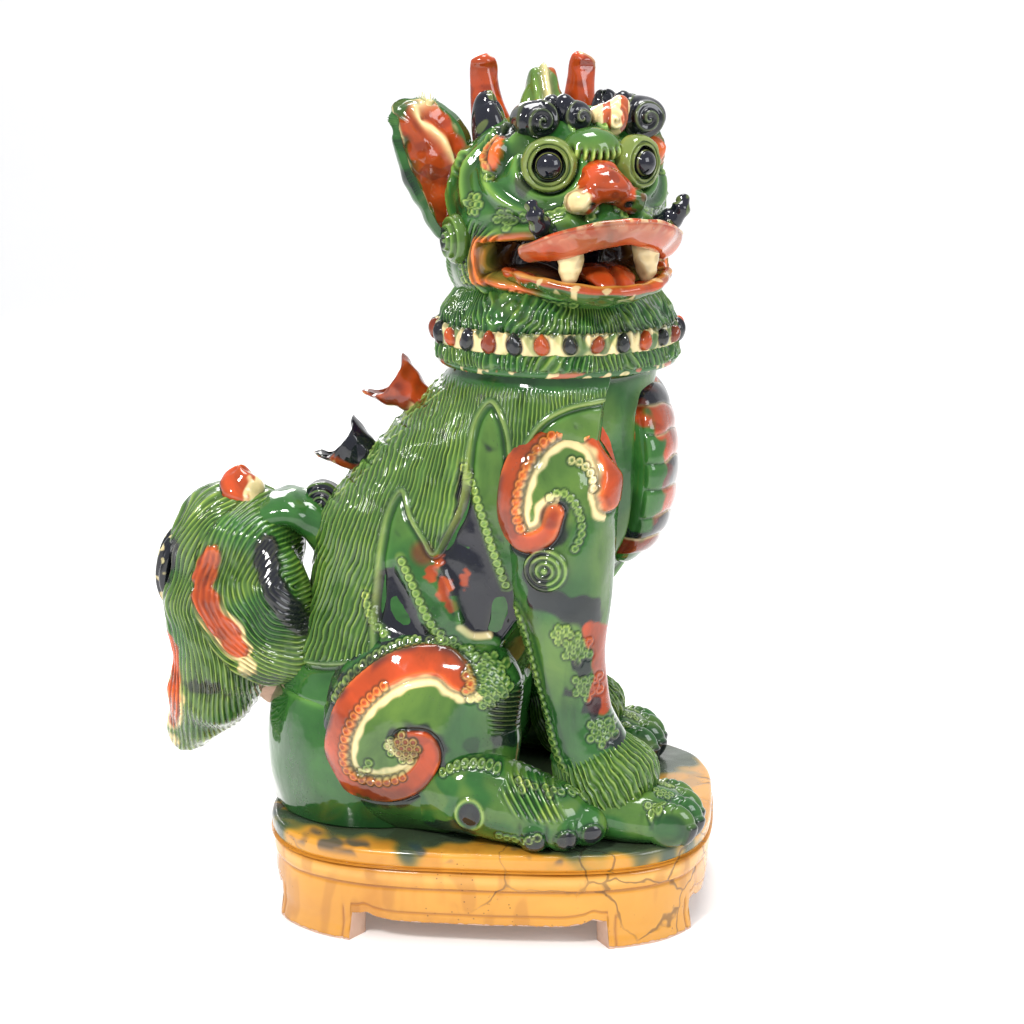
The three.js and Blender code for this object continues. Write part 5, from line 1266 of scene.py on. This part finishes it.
lower = Clay(loft(lipStations(46, 38, 44, -42.0, 9.0, 11, 5.0, (-100, 96)), (0, 0, 1), 300, 140, (0.05, 0.05)), color="orange")
lowRoot = np.hypot((lower.x - 38) / 46, lower.y / 44)
lower.p = lower.p + np.array([0, 0, 1]) * (4.0 * ramp(lowRoot, 0.98, 1.25))[..., None]
lower.height += 0.9 * wobble(lower.p, 20, 191) + 1.0 * np.exp(-(((lowRoot - 1.14) / 0.06) ** 2)) * ramp(lower.n[..., 2], 0, 0.5)
lower.paint("green", 0.95 * ramp(-lower.n[..., 2] + 0.25 * wobble(lower.p, 22, 192), 0.45, 0.7))
lower.paint((0.62, 0.33, 0.06), 0.75 * np.exp(-(((lowRoot - 1.17) / 0.035) ** 2)) * ramp(lower.n[..., 2], -0.2, 0.3))
lower.paint("cream", 0.7 * ramp(wobble(lower.p, 12, 194), 0.5, 0.7) * ramp(lowRoot, 1.1, 1.18))
lower.paint("rust", 0.7 * ramp(-lowRoot + 0.04 * wobble(lower.p, 14, 195), -1.0, -0.88))
lower.pooled()
build(lower, "lowerLip", "head", ["lower_lip"], figureGlaze, onHead=True)

tongue = Clay(loft([[34, 0, -34, 4, 9], [40, 0, -34, 5, 12], [60, 0, -30, 6, 15], [78, 0, -31, 5.5, 15], [88, 0, -36, 4, 11], [92, 0, -40, 2.5, 6]], (0, 1, 0), 150, 130), color="orange")
tongue.height -= 1.8 * np.exp(-((tongue.y / 2.6) ** 2)) * ramp(tongue.n[..., 2], 0, 0.4)
tongue.height += 0.4 * wobble(tongue.p, 12, 201)
tongue.paint("rust", 0.7 * np.exp(-((tongue.y / 3.5) ** 2)))
tongue.paint("rust", 0.9 * ramp(-tongue.x, -54, -42))
tongue.pooled()
build(tongue, "tongue", "head", ["tongue"], figureGlaze, onHead=True)

for word, side in sides.items():
    fang = Clay(loft([[72, side * 24, -10, 7, 8], [74, side * 24, -14, 7.5, 8.5], [75, side * 24, -22, 6.5, 7.5], [75, side * 24.5, -30, 5, 5.5], [74, side * 25, -36, 3, 3.2]],
                     (0, 1, 0), 110, 110, (0.1, 0.25)), color="cream")
    fang.height += 0.35 * wobble(fang.p, 9, 211)
    fang.paint("rust", 0.7 * ramp(fang.z, -17, -13))
    fang.paint((0.30, 0.20, 0.10), 0.45 * ramp(wobble(fang.p, 11, 212), 0.2, 0.7))
    fang.pooled()
    build(fang, "fang" + word.capitalize(), "head", ["fang_" + word], creamGlaze, onHead=True)

# nose with two flared wings
noseLift = 8
noseParts = [((71, 0, 12), (16, 15, 10)), ((73, 15, 4), (11, 10, 8)), ((73, -15, 4), (11, 10, 8)), ((64, 0, 18), (14, 12, 9))]
nose = Clay(cast(lambda p: blendOf([lump(p, *part) for part in noseParts], 4), (70, 0, 9), 170, 200, 44), color="orange")
for hand in (-1, 1):
    nostril = np.exp(-(((nose.y - hand * 11) / 3.6) ** 2 + ((nose.z - 1.5) / 3.0) ** 2)) * ramp(nose.n[..., 0], 0.0, 0.4)
    nose.height -= 3.2 * nostril
    nose.paint("black", 1.0 * ramp(nostril, 0.3, 0.6))
nose.paint("cream", 0.95 * ramp(9.5 - np.hypot(nose.y + 22, nose.z - 3) + 1.2 * wobble(nose.p, 8, 221), -1, 1))
nose.paint("green", 0.95 * ramp(9.0 - np.hypot(nose.y - 22, nose.z - 3) + 1.0 * wobble(nose.p, 8, 222), -1, 1))
nose.paint("black", 0.9 * ramp(-nose.z + 1.5 * wobble(nose.p, 8, 223), 1.5, 3.5) * (np.abs(nose.y) < 12))
nose.paint("rust", 0.6 * ramp(wobble(nose.p, 12, 224), 0.4, 0.8))
nose.height += 0.5 * wobble(nose.p, 11, 225)
nose.pooled()
nose.p = nose.p + [-3, 0, noseLift]
build(nose, "nose", "head", ["nose"], figureGlaze, onHead=True)


def turnedAlong(profile, axis, middle, cols, steps):
    # profile rows of radius and distance along a level axis carried round it
    profile = spline(profile, steps)
    a = np.linspace(0, 2 * np.pi, cols, endpoint=False)[None]
    forward = np.array([math.cos(axis), math.sin(axis), 0])
    sideways = np.array([-math.sin(axis), math.cos(axis), 0])
    r, h = profile[:, 0][:, None, None], profile[:, 1][:, None, None]
    return np.asarray(middle) + forward * h + (sideways * np.cos(a)[..., None] + np.array([0, 0, 1]) * np.sin(a)[..., None]) * r


for word, side in sides.items():
    aim = side * math.radians(24)
    middle = (eyeMiddles[word] - [neckX, 0, 0]) @ np.array([[math.cos(headTurn), -math.sin(headTurn), 0], [math.sin(headTurn), math.cos(headTurn), 0], [0, 0, 1]])
    middle = middle - [0, 0, headMiddle]
    cup = Clay(turnedAlong([[0.1, -9.3], [4, -8.5], [7.2, -6.0], [9.1, -2.2], [9.45, 0.6], [9.5, 2.6], [9.9, 3.9], [10.9, 4.1], [11.3, 3.0], [11.9, 2.5], [12.5, 3.2],
                            [13.7, 3.6], [15.0, 2.2], [15.9, -0.5], [16.2, -4.0], [15.5, -7.5], [12, -10], [6, -11.2], [0.1, -11.5]], aim, middle, 170, 120), color="leaf")
    cu, cv = gridParameters(cup)
    cup.paint((0.16, 0.20, 0.045), 0.75)
    cup.paint("deep", 0.95 * np.exp(-(((cv - 0.52) / 0.03) ** 2)))
    # painted shade: the inner wall of the cup, seen in the gap round the eyeball, is black
    cup.paint("black", 0.9 * ramp(-cv, -0.36, -0.28))
    cup.paint("pale", 0.5 * np.exp(-(((cv - 0.60) / 0.03) ** 2)) + 0.4 * np.exp(-(((cv - 0.45) / 0.02) ** 2)))
    cup.height += 0.3 * wobble(cup.p, 12, 231)
    build(cup, "eyeSocket" + word.capitalize(), "head", ["eye_socket_" + word], figureGlaze, onHead=True)
    polar = np.linspace(0.02, math.pi - 0.02, 90)
    ball = Clay(turnedAlong(np.stack([8.5 * np.sin(polar), 8.5 * np.cos(polar)], -1), aim, middle, 120, 90), color="black")
    bu, bv = gridParameters(ball)
    ball.paint((0.13, 0.15, 0.04), 0.9 * np.exp(-(((bv - 0.335) / 0.022) ** 2)))
    ball.height += 0.5 * ramp(-bv, -0.32, -0.26)
    build(ball, "eyeball" + word.capitalize(), "eye_" + word, ["eyeball_" + word], figureGlaze, onHead=True)
print("face done")

# ---- ears: pointed leaves cupped at the front, with a thick folded rim
earStations = np.array([[-6, 58, -14, 5, 7], [-9, 63, -4, 11, 15], [-13, 66, 12, 15, 20], [-18, 69, 28, 15, 23], [-23, 71, 42, 12, 23], [-29, 76, 52, 8, 19], [-35, 83, 60, 4, 11], [-40, 88, 65, 2, 4]], float)
for word, side in sides.items():
    swept = [0, 0, 0, 0, 0] if side < 0 else [-16, -10, 0, 0, 0]
    topWider = [0, 0, 0, 1, 2, 3, 3, 1] if side < 0 else [0] * 8
    stations = earStations + swept + np.outer(topWider, [0, 0, 0, 0, 1])
    path = loft(stations * [1, side, 1, 1, 1], (0.35, side * 0.9, -0.25), 220, 220, (0.1, 0.03))
    middleLine = path.mean(1, keepdims=True)
    bulge = path - middleLine
    across = unit(path[:, :1] - path[:, 110:111])
    sideways = (bulge * across).sum(-1, keepdims=True) * across
    through = bulge - sideways
    toFront = through[..., :1] > 0
    shell = middleLine + sideways + np.where(toFront, -0.35 * through, through)
    ear = Clay(shell, color="green")
    eu, ev = gridParameters(ear)
    facing = np.broadcast_to(toFront[..., 0], ear.height.shape).astype(float)
    lateral = np.linalg.norm(sideways, axis=-1) / np.maximum(np.linalg.norm(bulge, axis=-1).max(1, keepdims=True), 1)
    tip = ramp(-ev, -0.93, -0.80)
    ear.height += tip * (1.5 + 0.9 * ramp(lateral, 0.82, 0.98) + 0.5 * wobble(ear.p, 18, 241))
    pit = facing * ramp(-lateral + 0.12 * wobble(ear.p, 12, 242), -0.88, -0.72)
    leanOf = (sideways * across).sum(-1) / 23
    outward = leanOf * np.sign((across[..., 1] * side).mean())
    foldLine = nearCurve(outward, ev, spline([[-0.75, 0.78], [-0.2, 0.80], [0.05, 0.70], [-0.25, 0.58], [-0.5, 0.46], [-0.45, 0.30]], 60), 0.5)[0]
    ear.height += 4.0 * tip * facing * np.exp(-((foldLine / 0.09) ** 2))
    ear.height += 1.6 * tip * np.sin(9 * outward + 2) * ramp(ev, 0.72, 0.85) * facing
    ear.paint("orange", 0.97 * pit)
    ear.paint("rust", 0.6 * pit * ramp(wobble(ear.p, 16, 243), 0.2, 0.8))
    ear.paint("cream", 0.75 * facing * np.exp(-((foldLine / 0.05) ** 2)))
    ear.paint("green", 0.9 * facing * ramp(ev + 0.05 * wobble(ear.p, 14, 246), 0.80, 0.86))
    ear.paint("deep", 0.75 * facing * ramp(ev, 0.3, 0.5) * ramp(outward, 0.45, 0.8) * ramp(wobble(ear.p, 16, 247), -0.2, 0.4))
    ear.paint("cream", 0.8 * facing * np.exp(-(((lateral - 0.86) / 0.06) ** 2)) * ramp(wobble(ear.p, 20, 244), -0.1, 0.4))
    ear.paint("black", 0.8 * ramp(wobble(ear.p, 22, 245), 0.62, 0.8) * (1 - 0.5 * facing))
    ear.pooled()
    build(ear, "ear" + word.capitalize(), "head", ["ear_" + word], figureGlaze, onHead=True)

    horn = Clay(loft([[-34, side * 24, 34, 10, 12], [-36, side * 26, 44, 9, 12], [-38, side * 30, 60, 7, 10.5], [-39, side * 32, 76, 6, 9.5], [-38, side * 32.5, 85, 5, 9], [-35, side * 34, 91, 3.5, 7]],
                     (0.25, 1, 0), 150, 130, (0.1, 0.09)), color="orange")
    hornTurn = np.arctan2(horn.y - side * 30, horn.x + 38)
    horn.height += 0.9 * np.cos(hornTurn * 2 + horn.z * 0.09) - 1.0 * np.exp(-(((horn.z - 84) / 3) ** 2)) * ramp(np.cos(hornTurn), 0.2, 0.8)
    horn.paint("cream", 0.85 * ramp(np.cos(hornTurn + 1.2 + 0.04 * horn.z), 0.82, 0.93))
    horn.paint("rust", 0.7 * ramp(wobble(horn.p, 18, 251), 0.35, 0.7))
    horn.paint("green", 0.9 * ramp(-horn.z + 2 * wobble(horn.p, 9, 252), -46, -42))
    horn.pooled()
    build(horn, "horn" + word.capitalize(), "head", ["horn_" + word], figureGlaze, onHead=True)

    lobe = Clay(loft([[-10, side * 30, 26, 11, 11], [-14, side * 34, 34, 13, 12], [-16, side * 38, 54, 10, 10], [-18, side * 39, 64, 7, 7], [-16, side * 38, 71, 3, 4]], (0, 1, 0), 130, 120), color="black")
    lobe.height += 0.8 * np.cos(np.arctan2(lobe.y - side * 36, lobe.x + 15) * 3 + 0.12 * lobe.z)
    lobe.paint("pale", 0.4 * ramp(wobble(lobe.p, 14, 261), 0.5, 0.7))
    lobe.pooled()
    build(lobe, "hairLobe" + word.capitalize(), "head", ["hair_lobe_" + word], figureGlaze, onHead=True)

    boss = Clay(cast(lambda p: lump(p, (2, side * 66, -14), (15, 8, 15)), (2, side * 66, -14), 120, 150, 30), color="leaf")
    snail(boss, boss.x, boss.z, 2, -14, 4.6, 14, 0.9, side)
    boss.paint("black", 0.9 * ramp(8 - np.hypot(boss.x + 5, boss.z + 14) + wobble(boss.p, 7, 271), -1, 1.5))
    boss.pooled()
    build(boss, "cheekRosette" + word.capitalize(), "head", ["cheek_rosette_" + word], figureGlaze, onHead=True)

    whisker = Clay(loft([[60, side * 34, -6, 6, 6], [66, side * 36, -4, 6.5, 6.5], [73, side * 43, 2, 6, 6], [75, side * 47, 9, 4.5, 4.5], [71, side * 48, 14, 2.5, 2.5]], (0, 1, 0), 120, 100), color="black")
    whisker.height += 0.6 * np.sin(2 * np.pi * gridParameters(whisker)[1] * 5)
    whisker.paint("pale", 0.35 * ramp(wobble(whisker.p, 8, 281), 0.5, 0.7))
    build(whisker, "whiskerCurl" + word.capitalize(), "head", ["whisker_curl_" + word], figureGlaze, onHead=True)

crest = Clay(loft([[-20, 0, 34, 14, 16], [-22, 0, 44, 13, 16], [-24, 0, 66, 11, 13], [-24, 0, 78, 7, 9], [-22, 0, 86, 3, 5]], (0, 1, 0), 130, 130), color="leaf")
crest.height += 0.9 * np.cos(crest.y * 0.9)
crest.paint("cream", 0.8 * np.exp(-((crest.y / 3) ** 2)) * ramp(crest.n[..., 0], 0, 0.4))
crest.paint("orange", 0.85 * ramp(wobble(crest.p, 20, 291), 0.35, 0.5))
crest.pooled()
build(crest, "crestKnob", "head", ["crest_knob"], figureGlaze, onHead=True)

leaves = {
    "OuterRight": ((27, -26, 56), (14, 14, 11), "black", "brow_leaf_outer_right", 1),
    "InnerRight": ((33, -4, 58), (14, 10, 9), "black", "brow_leaf_inner_right", -1),
    "InnerLeft": ((33, 17, 56), (14, 11, 10), "cream", "brow_leaf_inner_left", 1),
    "OuterLeft": ((23, 42, 56), (17, 16, 13), "black", "brow_leaf_outer_left", -1),
}
for word, (middle, radii, name, node, handed) in leaves.items():
    leafField = lambda p: blendOf([lump(p, middle, radii), lump(p, np.add(middle, (2, handed * radii[1] * 0.7, radii[2] * 0.7)), (6, 6, 7))], 4)
    leaf = Clay(cast(leafField, middle, 120, 150, 34), color=name)
    snail(leaf, leaf.y, leaf.z, middle[1], middle[2], 5.2, radii[1], 0.9, handed)
    if name == "cream":
        leaf.paint("orange", 0.95 * ramp(np.cos((leaf.y - middle[1]) * 0.55 + leaf.x * 0.2), 0.1, 0.35))
        leaf.paint("green", 0.9 * ramp(-leaf.z + wobble(leaf.p, 9, 301), -47, -44))
    leaf.pooled()
    build(leaf, "browLeaf" + word, "head", [node], figureGlaze, onHead=True)

foreheadBoss = Clay(cast(lambda p: lump(p, (50, 0, 41), (13, 17, 11)), (50, 0, 41), 120, 160, 30), color="leaf")
beadRow = np.exp(-(((foreheadBoss.z - 37 - 0.012 * foreheadBoss.y**2) / 2.8) ** 2))
foreheadBoss.height += 0.8 + 1.7 * np.cos(2 * np.pi * foreheadBoss.y / 4.2) * beadRow
foreheadBoss.paint("pale", 0.8 * ramp(np.cos(2 * np.pi * foreheadBoss.y / 4.2), 0.2, 1) * beadRow)
foreheadBoss.paint("black", 0.8 * ramp(-np.cos(2 * np.pi * foreheadBoss.y / 4.2), 0.3, 1) * beadRow)
foreheadBoss.paint("green", 0.6 * ramp(foreheadBoss.z, 40, 48))
foreheadBoss.pooled()
build(foreheadBoss, "foreheadBoss", "head", ["forehead_boss"], figureGlaze, onHead=True)
print("head done")

# ---- studio
sweepTurn = np.linspace(0, math.pi / 2, 24)
sweepSide = np.concatenate([[[-6, 0]], np.stack([2.2 + 0.9 * np.sin(sweepTurn), 0.9 - 0.9 * np.cos(sweepTurn)], -1), [[3.1, 6]]])
sweepPoints = [(x, y, z) for x in (-7, 7) for y, z in sweepSide]
sweepCount = len(sweepSide)
sweepFaces = [(k, sweepCount + k, sweepCount + k + 1, k + 1) for k in range(sweepCount - 1)]
floorMesh = bpy.data.meshes.new("floor")
floorMesh.from_pydata(sweepPoints, [], sweepFaces)
floorMesh.polygons.foreach_set("use_smooth", [True] * len(sweepFaces))
floor = bpy.data.objects.new("floor", floorMesh)
bpy.context.scene.collection.objects.link(floor)
floorMaterial, floorNodes, floorLinks, floorShader = newMaterial("floorPaper")
floorPlace = floorNodes.new("ShaderNodeTexCoord").outputs["Object"]
floorTone = mixColor(floorNodes, floorLinks, noise(floorNodes, floorLinks, floorPlace, 3, 3), (0.90, 0.895, 0.885), (0.93, 0.925, 0.915))
floorLinks.new(floorTone, floorShader.inputs["Base Color"])
floorShader.inputs["Roughness"].default_value = 0.7
floorShader.inputs["Emission Color"].default_value = (1, 1, 1, 1)
floorShader.inputs["Emission Strength"].default_value = 0.14
floor.data.materials.append(floorMaterial)

world = bpy.data.worlds.new("paleRoom")
bpy.context.scene.world = world
world.use_nodes = True
background = world.node_tree.nodes["Background"]
background.inputs["Color"].default_value = (0.93, 0.95, 1.0, 1)
background.inputs["Strength"].default_value = 0.62

lamps = {
    "keyPanel": ((-0.75, -1.55, 1.75), (0.34, 0.34), 36, (1.0, 0.98, 0.95)),
    "fillPanel": ((1.7, -1.0, 1.1), (0.9, 0.9), 14, (0.95, 0.97, 1.0)),
    "topPanel": ((0.15, 0.1, 2.1), (0.7, 0.7), 22, (1.0, 1.0, 1.0)),
    "backPanel": ((-0.6, 1.8, 1.3), (0.8, 0.8), 16, (1.0, 0.98, 0.95)),
}
aim = Vector((deckMiddle[0], deckMiddle[1], 0.26))
for lampName, (spot, size, power, tone) in lamps.items():
    light = bpy.data.lights.new(lampName, "AREA")
    light.shape, light.size, light.size_y = "RECTANGLE", size[0], size[1]
    light.energy, light.color = power, tone
    lamp = bpy.data.objects.new(lampName, light)
    lamp.location = Vector(spot) + Vector((deckMiddle[0], 0, 0))
    lamp.rotation_euler = (aim - lamp.location).to_track_quat("-Z", "Y").to_euler()
    bpy.context.scene.collection.objects.link(lamp)

cameraData = bpy.data.cameras.new("camera")
camera = bpy.data.objects.new("camera", cameraData)
bpy.context.scene.collection.objects.link(camera)
camera.location = (deckMiddle[0] + 0.1325, -1.3947, 0.565)
lookAt = Vector((deckMiddle[0] + 0.0105, 0, 0.241))
camera.rotation_euler = (lookAt - camera.location).to_track_quat("-Z", "Y").to_euler()
cameraData.sensor_width, cameraData.lens = 36, 81.2
bpy.context.scene.camera = camera

bpy.context.scene.view_settings.view_transform = "Standard"
